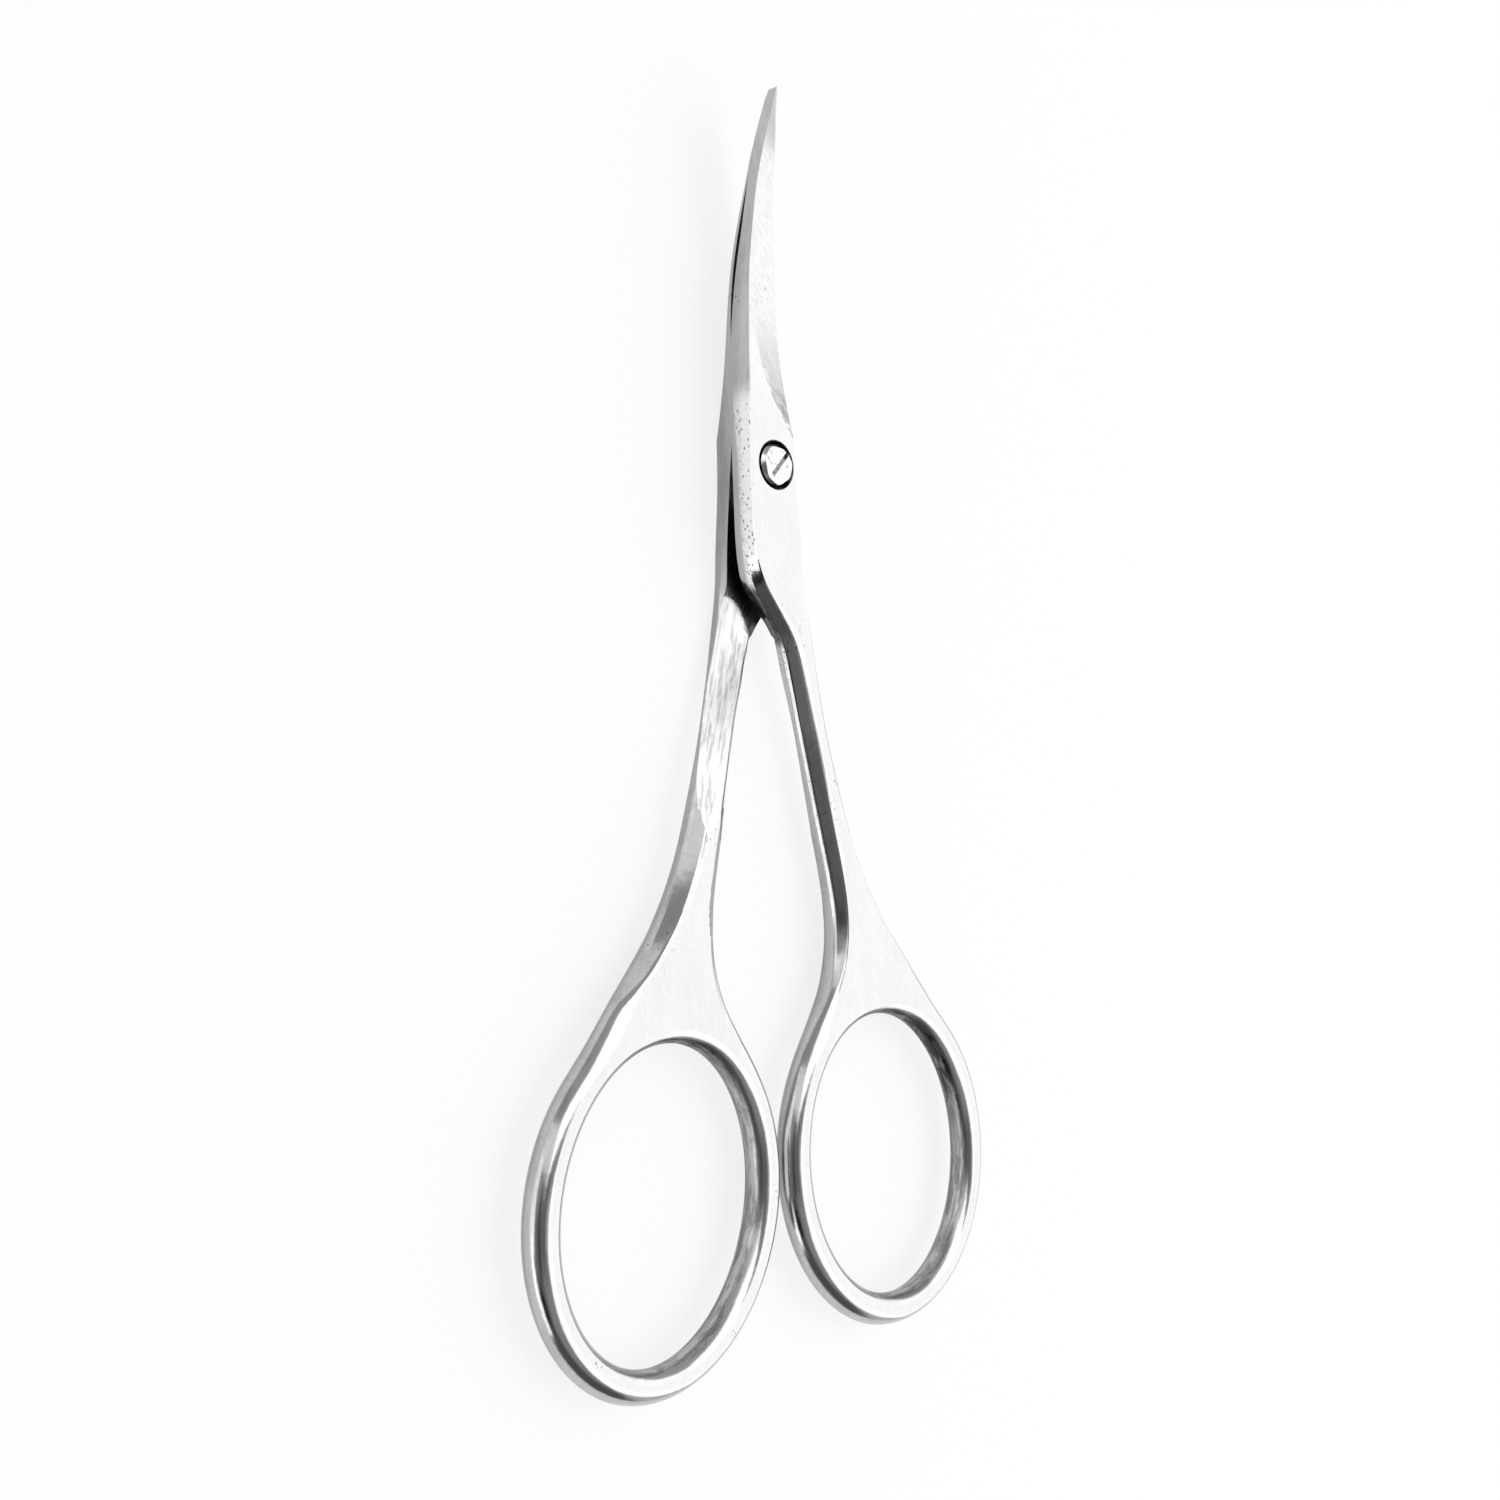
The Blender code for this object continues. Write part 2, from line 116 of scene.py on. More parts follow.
# Shank rows: inner and outer side as places from the crotch to the ring's centre and as
# shares of the ring's offset, how far the front face has come down, how thick the shank is,
# how sharp the edges are, and how much of the side facets is there.
SHANK_SHARES = (
    ((0.030, 0.078), (0.032, 0.303), 0.17, 1.00, 0.95, 1.0),
    ((0.068, 0.145), (0.072, 0.343), 0.36, 1.00, 0.92, 1.0),
    ((0.117, 0.212), (0.121, 0.402), 0.65, 1.00, 0.92, 1.0),
    ((0.170, 0.280), (0.170, 0.459), 0.89, 1.00, 0.90, 1.0),
    ((0.230, 0.342), (0.222, 0.510), 1.00, 1.00, 0.90, 1.0),
    ((0.301, 0.400), (0.289, 0.577), 1.00, 1.00, 0.90, 1.0),
    ((0.373, 0.459), (0.358, 0.651), 1.00, 1.00, 0.85, 1.0),
    ((0.440, 0.516), (0.422, 0.722), 1.00, 1.03, 0.80, 1.0),
    ((0.501, 0.561), (0.483, 0.820), 1.00, 1.07, 0.75, 1.0),
    ((0.560, 0.578), (0.546, 0.946), 1.00, 1.12, 0.65, 0.9),
    ((0.620, 0.560), (0.598, 1.091), 1.00, 1.17, 0.50, 0.7),
    ((0.682, 0.482), (0.640, 1.230), 1.00, 1.20, 0.35, 0.4),
)
SHOULDER_FALL_SHARE = 0.12
# Scoop behind the shoulder: inner and outer side, each as a place from the crotch to the
# ring's centre, a share of the ring's offset and a height over the box's half thickness.
SCOOP_SHARES = (
    ((0.030, 0.078, 0.048), (-0.027, 0.269, 0.433)),
    ((0.052, 0.115, -0.058), (0.017, 0.290, 0.442)),
    ((0.081, 0.165, -0.178), (0.067, 0.336, 0.433)),
    ((0.117, 0.212, -0.264), (0.114, 0.395, 0.433)),
    ((0.170, 0.280, -0.337), (0.165, 0.458, 0.346)),
    ((0.230, 0.342, -0.418), (0.220, 0.508, 0.163)),
    ((0.289, 0.399, -0.481), (0.272, 0.563, 0.048)),
    ((0.338, 0.445, -0.529), (0.323, 0.613, -0.120)),
    ((0.383, 0.487, -0.601), (0.368, 0.664, -0.361)),
    ((0.417, 0.521, -0.721), (0.412, 0.714, -0.625)),
)
# Rounding of the scoop's inner edge: way in as a share of its width, and how much deeper as
# a share of its depth.
SCOOP_EDGE_SHARES = (
    (0.00, 1.00),
    (0.20, 0.68),
    (1.00, 0.00),
)
# Columns of a section, from its left to its right side.
COLUMN_SHARES = (0.0, 0.25, 0.5, 0.75, 1.0)
# How far the ring's spokes under the shank stand off the oval, from the outer side to the
# inner side.
WEB_SHARES = (1.12, 1.01, 1.0, 1.0, 1.02)
# Control points of the ring's section, as shares of its half width and half height: edges,
# crown, wall of the hole and outer ridge.
SECTION_EDGE_SHARES = (0.70, 0.78)
SECTION_CROWN_SHARE = 1.10
SECTION_SIDE_SHARE = 1.06
SECTION_RIDGE_SHARE = 0.98
# Sharpness of the long edges and of the parting ridge, at the shoulder, the box and the
# blade.
SHOULDER_SHARP = (0.92, 0.9)
BOX_SHARP = (0.96, 0.9)
BLADE_SHARP = (0.97, 0.9)
# What the steel mirrors of the studio: soft panels on its even wall, each with azimuth and
# elevation, half width, half height and soft edge in degrees, and a level. The dark ones
# take their level from the wall's, and the light ones show theirs.
DARK_PANELS = (
    (75, 25, 40, 20, 8, -0.12),
    (255, 14, 32, 16, 10, 0.25),
    (185, 60, 14, 14, 10, 0.18),
    (205, 32, 18, 12, 8, 0.16),
)
LIGHT_PANELS = (
    (96, 62, 23, 12, 6, 2.15),
    (148, 30, 8, 34, 5, 1.10),
    (172, 7, 20, 10, 6, 1.45),
    (210, 7, 22, 4, 4, 2.10),
    (308, 40, 7, 45, 8, 0.70),
)

# Names of the marks: faces that a tool cuts, walls of the finger hole with painted shade on
# part of them, and other faces, with painted shade on the crotch's walls and the shank's edge.
TOOL_MARKS = ("bevel", "mating", "bore")
WALL_MARKS = ("hole_wall", "forge_skin")
FACE_MARKS = ("side_wall", "spine_side", "dull_wall")
# Where each mark starts and is full. Shares are of the size in their name.
HOLE_WALL_SHARES = (1.05, 1.02)
# Between these angles round the hole, part of its wall is darkened: painted shade, standing in
# for the shadow that this wall mirrors.
HOLE_SHADE_START_DEGREES = (-25, 25)
HOLE_SHADE_END_DEGREES = (125, 95)
# Where the painted shade on the walls of the crotch and along the shank's inner edge starts
# and is full.
CROTCH_SHOULDER_SHARES = (1.02, 1.06)
CROTCH_NOOK_SHARES = (1.0, 0.97)
EDGE_CROTCH_SHARES = (1.0, 1.1)
EDGE_RING_SHARES = (0.76, 0.68)
# The nook's darker steel is partly unpolished and partly painted shade under the other half.
NOOK_ARC_SHARES = (0.92, 1.12)
NOOK_SHOULDER_SHARES = (-0.1, -0.45)
BAND_CURVE_SHARES = (0.74, 0.48)
BASE_CURVE_SHARES = (0.95, 0.5)
# The pitted band: fade of its lower edge, height of its grainy foot, and slope. The last
# value is how ragged the nook and the band are.
BAND_FADE = 0.25 * MM
BAND_FOOT = 1.0 * MM
BAND_SLOPE = 0.1
RAGGED = 0.3
# How far the normals of the marked faces lean, and how strong the painted shade on the shank's
# edge is.
SIDE_TILT = 0.55
SPINE_TILT = 0.8
CROTCH_TILT = 0.5
EDGE_TILTS = (0.15, 0.4)
EDGE_SHADE = 0.8
# Patterns of the steel: turn about Z, stretch, scale, detail, roughness and distortion.
UNSTRETCHED = (1, 1, 1)
STEEL_PATTERNS = {
    "wave": (0, UNSTRETCHED, 450, 2, 0.5, 0),
    "peel": (0, UNSTRETCHED, 2600, 3, 0.6, 0),
    "lines": (0, (1, 0.05, 1), 6000, 4, 0.65, 0),
    "grind": (0.5, (0.06, 1, 1), 4200, 3, 0.5, 0),
    "cloud": (0, (1, 0.3, 1), 500, 4, 0.65, 0),
    "hoops": (0, (1, 1, 7), 420, 4, 0.6, 0.4),
    "scratch": (0.7, (1, 0.1, 1), 5200, 4, 0.7, 0),
    "bands": (0.26, (1, 0.03, 1), 3200, 4, 0.65, 0),
    "stripes": (0.45, (0.05, 1, 1), 1900, 4, 0.7, 0),
    "patch": (0, UNSTRETCHED, 200, 2, 0.5, 0),
    "wear": (0, UNSTRETCHED, 1500, 3, 0.5, 0),
}
SCREW_DENTS = (0, UNSTRETCHED, 2200, 2, 0.5, 0)
PIT_STRETCH = (1, 0.6, 1)
PIT_SCALE = 4200
# Where each mark starts and is full on its pattern.
PIT_FADE = (0.42, 0.12)
PATCH_FADE = (0.60, 0.68)
PEEL_FADE = (0.48, 0.58)
WEAR_FADE = (0.44, 0.50)
HOOP_FADE = (0.43, 0.56)
BAND_GRAIN_FADE = (0.40, 0.58)
BANDS_FADE = (0.45, 0.65)
STRIPES_FADE = (0.42, 0.60)
DENT_FADE = (0.58, 0.72)
# Edges sharper than this stay sharp in the shading.
CREASE_ANGLE = math.radians(28)
# Where the studio's lamp hangs, as azimuth and elevation, and how the camera stands: place
# in millimetres and turns about Y, X and Z.
KEY_HEADING = (350, 42)
CAMERA_PLACE = (-95.48, -8.24, 93.30)
CAMERA_TURNS = ((-0.7999, "Y"), (0.0475, "X"), (-0.0315, "Z"))
# The screw's head and its dressed flat miss the middle along Y by these shares of their
# shifts along X, and the flat's outline wavers this often: count, phase and share.
HEAD_RISE_SHARE = 0.4
FLAT_FALL_SHARE = 0.5
FLAT_WAVES = ((3, 1, 1), (7, 0, 0.5))


def length(name, text, millimetres):
    """Describe one length of the scissors for the panel."""
    return FloatProperty(name=name, description=text, default=millimetres * MM, min=0,
                         precision=5, subtype="DISTANCE", unit="LENGTH")


def share(name, text, value, top=1):
    """Describe one plain number of the scissors for the panel."""
    return FloatProperty(name=name, description=text, default=value, min=0, max=top)


def turn(name, text, degrees):
    """Describe one angle of the scissors for the panel."""
    return FloatProperty(name=name, description=text, default=math.radians(degrees),
                         subtype="ANGLE", unit="ROTATION")


def colour(name, text, value):
    """Describe one colour of the scissors for the panel."""
    return FloatVectorProperty(name=name, description=text, default=value, min=0, max=1,
                               size=3, subtype="COLOR")


class ScissorsForging(bpy.types.PropertyGroup):
    """Sizes of one forged half."""

    box_half: length("Half box", "Thickness of one half at the box joint", 2.08)
    spine_half: length("Spine side", "Pivot axis to the spine side of the box", 2.75)
    edge_half: length("Edge side", "Pivot axis to the cutting edge at the box", 2.10)
    ride_gap: length("Ride gap", "Play between the two mating faces", 0.2)
    relief: length("Relief", "Depth of the relief on the mating face", 0.8)
    shoulder_drop: length("Shoulder", "Pivot axis down to the shoulder", 8.8)
    crotch_drop: length("Crotch", "Pivot axis down to the crotch", 11.3)
    shoulder_clearance: length("Shoulder play", "Play round the other half's shoulder", 0.25)
    scoop_hollow: length("Scoop hollow", "How hollow the scoop is across", 0.1)
    scoop_edge: length("Scoop edge", "Width of the scoop's rounded inner edge", 0.36)
    scoop_drop: length("Scoop drop", "How far that rounded edge falls", 0.36)
    cant: length("Cant", "How far the box's walls lean in at the face", 0.13)
    blade: length("Blade", "Pivot axis up to the tip", 27.499)
    curve_start: length("Curve start", "Pivot axis up to where the blade's curve starts", 8.5)
    curve_radius: length("Curve radius", "Radius of the blade's curve", 62.7)
    shank: length("Shank", "Thickness of the shank", 2.06)
    ridge: length("Ridge", "How far the parting ridge stands out of the sides", 0.1)
    ridge_flat: length("Ridge flat", "Width of the flat dressed along the ridge", 0.34)
    ridge_draw: length("Ridge draw", "How far that flat leans in", 0.17)
    inner_ridge: length("Inner ridge", "How far the inner side's ridge is off the middle",
                        0.04)
    facet: length("Facet", "Width of the facet above a ridge", 0.78)
    outer_edge: share("Soft edges", "How much of its sharpness a soft edge keeps", 0.62)
    crown: length("Crown", "Rise of the shank's face from its edges", 0.16)
    hole_width: length("Hole half width", "Half the width of the finger hole", 8.85)
    hole_height: length("Hole half height", "Half the height of the finger hole", 10.86)
    side_band: length("Side band", "Width of the ring's steel at its sides", 2.83)
    end_band: length("End band", "Width of the ring's steel at its ends", 2.465)
    ring_thickness: length("Ring thickness", "Thickness of the ring's steel", 2.5)
    ring_gap: length("Ring gap", "Play between the closed rings", 0.3)
    ring_drop: length("Ring drop", "Pivot axis down to the ring's centre", 51.8)
    ring_lean: turn("Ring lean", "Lean of the oval ring towards the pivot", 11.7)
    # The nook is darker steel there: partly unpolished, partly painted shade under the other
    # half.
    nook_side: length("Nook side", "Middle of the unpolished nook's arc, sideways", 3.0)
    nook_drop: length("Nook drop", "Middle of that arc below the pivot", 12.7)
    nook_width: length("Nook width", "Half width of that arc", 1.9)
    nook_height: length("Nook height", "Half height of that arc", 3.1)
    band_low: length("Pitted band", "Height where the pitted band of the spine starts", 0.72)
    overrun: length("Overrun", "How far a tool reaches past the steel", 1.5)
    spokes: IntProperty(name="Spokes", description="Control sections round a ring",
                        default=24, min=12)
    smoothing: IntProperty(name="Smoothing", description="Subdivision levels of the skin",
                           default=3, min=1, max=4)
    steps: IntProperty(name="Steps", description="Steps of a grinding tool along the blade",
                       default=72, min=8)
    scoop_steps: IntProperty(name="Scoop steps", description="Steps of the scoop",
                             default=36, min=8)
    strips: IntProperty(name="Strips", description="Strips of a grinding tool across",
                        default=8, min=2)


class ScissorsScrew(bpy.types.PropertyGroup):
    """Sizes of the pivot screw and its seat."""

    shank: length("Shank radius", "Radius of the screw's shank", 1.0)
    play: length("Shank play", "Play between the shank and its hole", 0.1)
    head: length("Head radius", "Radius of the head", 1.55)
    head_play: length("Head play", "Play between the head and its counterbore", 0.23)
    head_shift: length("Head shift", "How far the head sits off the counterbore's axis", 0.18)
    head_height: length("Head height", "Height of the head", 0.8)
    recess: length("Recess", "How far the head lies below the face", 0.12)
    top_recess: length("Top recess", "How far the dressed flat lies below the face", 0.04)
    chamfer: length("Chamfer", "Width of the turned cone round the head's flat", 0.17)
    chamfer_drop: length("Chamfer drop", "How far that cone falls", 0.17)
    flat_shift: length("Flat shift", "How far the dressed flat misses the middle", 0.12)
    slot_width: length("Slot width", "Width of the driver slot", 0.34)
    slot_depth: length("Slot depth", "Depth of the driver slot", 0.42)
    slot_shift: length("Slot shift", "How far the slot misses the middle", 0.27)
    slot_reach: length("Slot reach", "How far the slot runs past the middle", 0.8)
    flat_waver: length("Flat waver", "How far the flat's outline wavers", 0.06)
    slot_angle: turn("Slot angle", "Direction of the driver slot", 47)
    rim: length("Rim", "Width of the countersunk rim of the counterbore", 0.07)
    tail_recess: length("Tail recess", "How far the peened tail lies below the back", 0.1)
    tail_dome: length("Tail dome", "Rise of the peened tail", 0.1)
    facets: IntProperty(name="Facets", description="Facets of the turned pieces",
                        default=128, min=24)


class ScissorsSteel(bpy.types.PropertyGroup):
    """Colours and finish of the steel."""

    polished: colour("Polished steel", "Reflectance of the polished steel",
                     (0.565, 0.57, 0.575))
    bright: colour("Bright steel", "Reflectance of the brightest ground steel",
                   (0.95, 0.95, 0.955))
    # The rough steel's colour also paints shade and dark reflections: on part of the finger
    # hole, in the nook, on the crotch's walls and along the shank's edge.
    rough: colour("Rough steel", "Reflectance of the pitted and unpolished steel",
                  (0.06, 0.06, 0.062))
    roughness: share("Roughness", "Roughness of the polished steel", 0.13)
    ground_roughness: share("Ground roughness", "Roughness of the ground bevels", 0.20)
    wall_roughness: share("Wall roughness", "Roughness inside rings and scoops", 0.27)


class ScissorsStage(bpy.types.PropertyGroup):
    """Floor, light and camera."""

    floor: colour("Floor", "Colour of the floor", (0.80, 0.80, 0.80))
    floor_glow: share("Floor glow", "How much of the floor's white needs no light", 0.80)
    floor_lit: share("Floor lit", "How pale the floor is as the steel mirrors it", 0.66)
    floor_mirror: share("Floor mirror", "What that floor shows without any light", 0.30)
    floor_size: FloatProperty(name="Floor size", description="Width of the floor",
                              default=8, subtype="DISTANCE", unit="LENGTH")
    ambient: share("Ambient", "Level of the room's even light", 0.5)
    key_level: share("Key level", "Radiance of the large soft lamp", 1.40, 4)
    key_size: FloatProperty(name="Key size", description="Width of the large soft lamp",
                            default=1.05, subtype="DISTANCE", unit="LENGTH")
    key_distance: FloatProperty(name="Key distance", description="Distance of that lamp",
                                default=0.60, subtype="DISTANCE", unit="LENGTH")
    room: share("Room", "Level of the studio's wall as the steel mirrors it", 0.36, 4)
    lens: FloatProperty(name="Lens", description="Focal length of the camera in millimetres",
                        default=43.2)


class ScissorsSettings(bpy.types.PropertyGroup):
    """All settings of the scissors."""

    forging: PointerProperty(type=ScissorsForging)
    screw: PointerProperty(type=ScissorsScrew)
    steel: PointerProperty(type=ScissorsSteel)
    stage: PointerProperty(type=ScissorsStage)


class Wire:
    """An output socket of a node tree, on which Python's operators add Math nodes."""

    def __init__(self, tree, socket=None):
        self.tree = tree
        self.socket = socket

    def node(self, kind, settings=None, values=None, output=0):
        """Add a node: its settings come first, then the values or links of its sockets."""
        made = self.tree.nodes.new(kind)
        for name, setting in (settings or {}).items():
            if name == "stops":
                self.set_stops(made.color_ramp.elements, setting)
            else:
                setattr(made, name, setting)
        for name, value in (values or {}).items():
            if isinstance(value, Wire):
                self.tree.links.new(value.socket, made.inputs[name])
            else:
                made.inputs[name].default_value = value
        return Wire(self.tree, made.outputs[output])

    @staticmethod
    def set_stops(elements, stops):
        """Give a ramp its stops, each a place and a grey level."""
        while len(elements) < len(stops):
            elements.new(1)
        for element, (place, level) in zip(elements, stops):
            element.position = place
            element.color = (level, level, level, 1)

    def sum(self, operation, *values):
        """Add a Math node that works on this socket and the other values."""
        values = dict(enumerate(values))
        return self.node("ShaderNodeMath", {"operation": operation}, values)

    def __add__(self, other):
        return self.sum("ADD", self, other)

    def __radd__(self, other):
        return self.sum("ADD", other, self)

    def __sub__(self, other):
        return self.sum("SUBTRACT", self, other)

    def __rsub__(self, other):
        return self.sum("SUBTRACT", other, self)

    def __mul__(self, other):
        return self.sum("MULTIPLY", self, other)

    def __rmul__(self, other):
        return self.sum("MULTIPLY", other, self)

    def __truediv__(self, other):
        return self.sum("DIVIDE", self, other)

    def __rtruediv__(self, other):
        return self.sum("DIVIDE", other, self)

    def most(self, other):
        """Take the larger of two values."""
        return self.sum("MAXIMUM", self, other)

    def ease(self, low, high):
        """Rise smoothly from 0 at low to 1 at high. Low may lie above high."""
        return self.node(
            "ShaderNodeMapRange", {"interpolation_type": "SMOOTHSTEP"},
            {"Value": self, "From Min": low, "From Max": high})

    def stretch(self, scale, turned=(0, 0, 0)):
        """Scale and turn a vector."""
        return self.node("ShaderNodeMapping", {"vector_type": "POINT"},
                         {"Vector": self, "Scale": scale, "Rotation": turned})

    def pattern(self, turned, stretched, scale, detail, rough, twist):
        """Read a noise at this vector, after a turn about Z and a stretch."""
        place = self.stretch(UNSTRETCHED, (0, 0, turned)) if turned else self
        if stretched != UNSTRETCHED:
            place = place.stretch(stretched)
        return place.node("ShaderNodeTexNoise", None, {
            "Vector": place, "Scale": scale, "Detail": detail, "Roughness": rough,
            "Distortion": twist})

    def blend(self, first, second):
        """Mix two colours by this value."""
        return self.node("ShaderNodeMix", {"data_type": "RGBA"},
                         {0: self, 6: first, 7: second}, 2)


def blade_rise(s, y):
    """Height of the curved mating face over the mating plane along the blade."""
    past = max(0, y - s.curve_start)
    return s.curve_radius - math.sqrt(s.curve_radius ** 2 - past ** 2)


def smooth_row(rows, place):
    """Read a table of rows between them, on a smooth curve through them."""
    last = len(rows) - 2
    k = 0
    while k < last and rows[k + 1][0] < place:
        k += 1
    span = rows[k + 1][0] - rows[k][0]
    t = (place - rows[k][0]) / span
    before, after = rows[max(k - 1, 0)], rows[min(k + 2, last + 1)]
    values = []
    for column in range(1, len(rows[0])):
        start, end = rows[k][column], rows[k + 1][column]
        leave = (end - before[column]) / (rows[k + 1][0] - before[0]) * span
        arrive = (after[column] - start) / (after[0] - rows[k][0]) * span
        rest = end - start
        values.append(start + t * (leave + t * (
            3 * rest - 2 * leave - arrive + t * (leave + arrive - 2 * rest))))
    return values


def ring_offset(s):
    """Give how far the ring's centre lies to the side of the pivot axis."""
    return s.ring_gap / 2 + math.hypot(
        (s.hole_width + s.side_band) * math.cos(s.ring_lean),
        (s.hole_height + s.end_band) * math.sin(s.ring_lean))


def ring_point(s, angle, across):
    """Give a point of the leaning ring: across is -1 at the hole and 1 at the outside."""
    half_width = s.hole_width + s.side_band * (1 + across) / 2
    half_height = s.hole_height + s.end_band * (1 + across) / 2
    point = Vector((half_width * math.cos(angle), half_height * math.sin(angle)))
    centre = Vector((ring_offset(s), -s.ring_drop))
    return centre + Matrix.Rotation(s.ring_lean, 2) @ point


def section_row(s, left, right, front, back, middle, inset, facets):
    """Place one closed section of the forging: front, right side, back and left side. A
    share of facets stands the ridges out, draws one edge of each side in behind a facet,
    and crowns the faces."""
    across = (right - left).normalized()
    flat = s.ridge_flat / 2
    facet = s.facet * facets
    crown = s.crown * facets
    points = []
    sides = []
    for height, drop, left_in, right_in in (
            (front, crown, inset + facet, inset), (back, -crown, inset, inset + facet)):
        start = left + across * left_in
        end = right - across * right_in
        row = [Vector((*start.lerp(end, k), height)) for k in COLUMN_SHARES]
        row[0].z -= drop
        row[-1].z -= drop
        points.append(row)
    inner = middle + s.inner_ridge * facets
    for base, out, height, lean in ((right, 1, middle, -1), (left, -1, inner, 1)):
        ridge = base + across * out * s.ridge * facets
        drawn = ridge - across * out * s.ridge_draw * facets
        high, low = (drawn, ridge) if lean > 0 else (ridge, drawn)
        sides.append([Vector((*high, height + flat)), Vector((*low, height - flat))])
    return points[0] + sides[0] + points[1][::-1] + sides[1][::-1]


def forging_rows(s, rise_sign):
    """List the sections from the finger ring up to the tip, each with the sharpness of its
    long edges and of its parting ridge."""
    rows = []
    low = -s.shank / 2
    reach = s.ring_drop - s.crotch_drop
    offset = ring_offset(s)
    for (inner_down, inner), (outer_down, outer), fallen, stout, sharp, facets in reversed(
            SHANK_SHARES):
        left = Vector((inner * offset, -s.crotch_drop - inner_down * reach))
        right = Vector((outer * offset, -s.crotch_drop - outer_down * reach))
        back = stout * low
        front = s.box_half - (s.box_half + back) * fallen
        middle = front + low
        rows.append((section_row(s, left, right, front, back, middle, 0, facets),
                     sharp, sharp))

    corner = Vector((-SHOULDER_CORNER_SHARE * s.spine_half, -s.shoulder_drop))
    crotch = Vector((0, -s.crotch_drop))
    for down, outer_along, outer, facets in reversed(SHOULDER_SHARES):
        right = Vector((outer * s.spine_half, -outer_along * s.shoulder_drop))
        front = s.box_half - (s.box_half + low) * down * SHOULDER_FALL_SHARE
        rows.append((section_row(
            s, corner.lerp(crotch, down), right, front, low, front + low,
            s.cant * (1 - down), facets), *SHOULDER_SHARP))

    for along, spine, outer in reversed(BOX_SHARES):
        y = -along * s.shoulder_drop
        left = Vector((-spine * s.spine_half, y))
        right = Vector((outer * s.spine_half, y))
        rows.append((section_row(s, left, right, s.box_half, low, s.box_half / 2, s.cant, 0),
                     *BOX_SHARP))

    for along, spine, edge, height in BLADE_SHARES:
        y = along * s.blade
        rise = rise_sign * blade_rise(s, y)
        left = Vector((-spine * s.spine_half, y))
        right = Vector((edge * s.edge_half, y))
        rows.append((section_row(
            s, left, right, rise + height * s.box_half, rise + low,
            rise + height * s.box_half / 2, s.cant * spine, 0), *BLADE_SHARP))
    return rows


def spin_ring(s, bm):
    """Spin the ring's section round its hole, and give its spokes of labelled vertices."""
    edge_across, edge_up = SECTION_EDGE_SHARES
    half = s.ring_thickness / 2
    flat = s.ridge_flat / 2
    section = {
        "front": (edge_across, half * edge_up), "crown_front": (0, half * SECTION_CROWN_SHARE),
        "hole_front": (-edge_across, half * edge_up), "wall": (-SECTION_SIDE_SHARE, 0),
        "hole_back": (-edge_across, -half * edge_up),
        "crown_back": (0, -half * SECTION_CROWN_SHARE), "back": (edge_across, -half * edge_up),
        "side_back": (SECTION_RIDGE_SHARE, -flat), "side_front": (SECTION_RIDGE_SHARE, flat),
    }
    names = list(section)
    label = bm.verts.layers.int.new("label")
    points = []
    for k, (across, height) in enumerate(section.values()):
        vert = bm.verts.new((s.hole_width + across * s.side_band / 2, 0, height))
        vert[label] = k
        points.append(vert)
    edges = [bm.edges.new((points[k - 1], points[k])) for k in range(len(points))]
    bmesh.ops.spin(bm, geom=points + edges, cent=(0, 0, 0), axis=(0, 0, 1), angle=math.tau,
                   steps=s.spokes, use_merge=True)
    spokes = [{} for _ in range(s.spokes)]
    for vert in bm.verts:
        k = round(math.atan2(vert.co.y, vert.co.x) * s.spokes / math.tau) % s.spokes
        name = names[vert[label]]
        across = section[name][0]
        vert.co = (*ring_point(s, math.tau * k / s.spokes, across), vert.co.z)
        spokes[k][name] = vert
    return spokes


def open_web(s, bm, spokes):
    """Open the ring's outer side under the shank, and give the closed row of vertices
    round that opening."""
    shared = len(COLUMN_SHARES)
    first = s.spokes // 4 - shared // 2
    centre = Vector((ring_offset(s), -s.ring_drop, 0))
    web = spokes[first:first + shared]
    for spoke, stand in zip(web, WEB_SHARES):
        for name in ("front", "side_front", "side_back", "back"):
            away = spoke[name].co - centre
            spoke[name].co = centre + Vector((away.x * stand, away.y * stand, away.z))
    for spoke in web[1:-1]:
        for name, height in (("front", s.ring_thickness / 2), ("back", -s.ring_thickness / 2)):
            spoke[name].co.z = height
            spoke["crown_" + name].co.z = height
    inner = {spoke[name] for spoke in web for name in ("side_front", "side_back")}
    rim = {spoke[name] for spoke in web for name in ("front", "back")}
    doomed = [face for face in bm.faces
              if all(vert in inner or vert in rim for vert in face.verts)
              and any(vert in inner for vert in face.verts)]
    bmesh.ops.delete(bm, geom=doomed, context="FACES")
    web = web[::-1]
    row = [spoke["front"] for spoke in web]
    row += [web[-1]["side_front"], web[-1]["side_back"]]
    row += [spoke["back"] for spoke in reversed(web)]
    row += [web[0]["side_back"], web[0]["side_front"]]
    return row


def grow(bm, row, points, closed=True):
    """Extrude a row of vertices to the points of the next row."""
    pairs = zip(row, row[1:] + row[:1] if closed else row[1:])
    edges = [bm.edges.get(pair) for pair in pairs]
    made = bmesh.ops.extrude_edge_only(bm, edges=edges)["geom"]
    fresh = {item for item in made if isinstance(item, bmesh.types.BMVert)}
    after = []
    for vert, point in zip(row, points):
        twin = next(edge.other_vert(vert) for edge in vert.link_edges
                    if edge.other_vert(vert) in fresh)
        twin.co = point
        after.append(twin)
    return after


def new_object(name, bm, smooth=True):
    """Turn a bmesh into a named object in the scene."""
    bmesh.ops.recalc_face_normals(bm, faces=bm.faces[:])
    mesh = bpy.data.meshes.new(name)
    bm.to_mesh(mesh)
    bm.free()
    if smooth:
        mesh.shade_smooth()
    thing = bpy.data.objects.new(name, mesh)
    bpy.context.collection.objects.link(thing)
    return thing


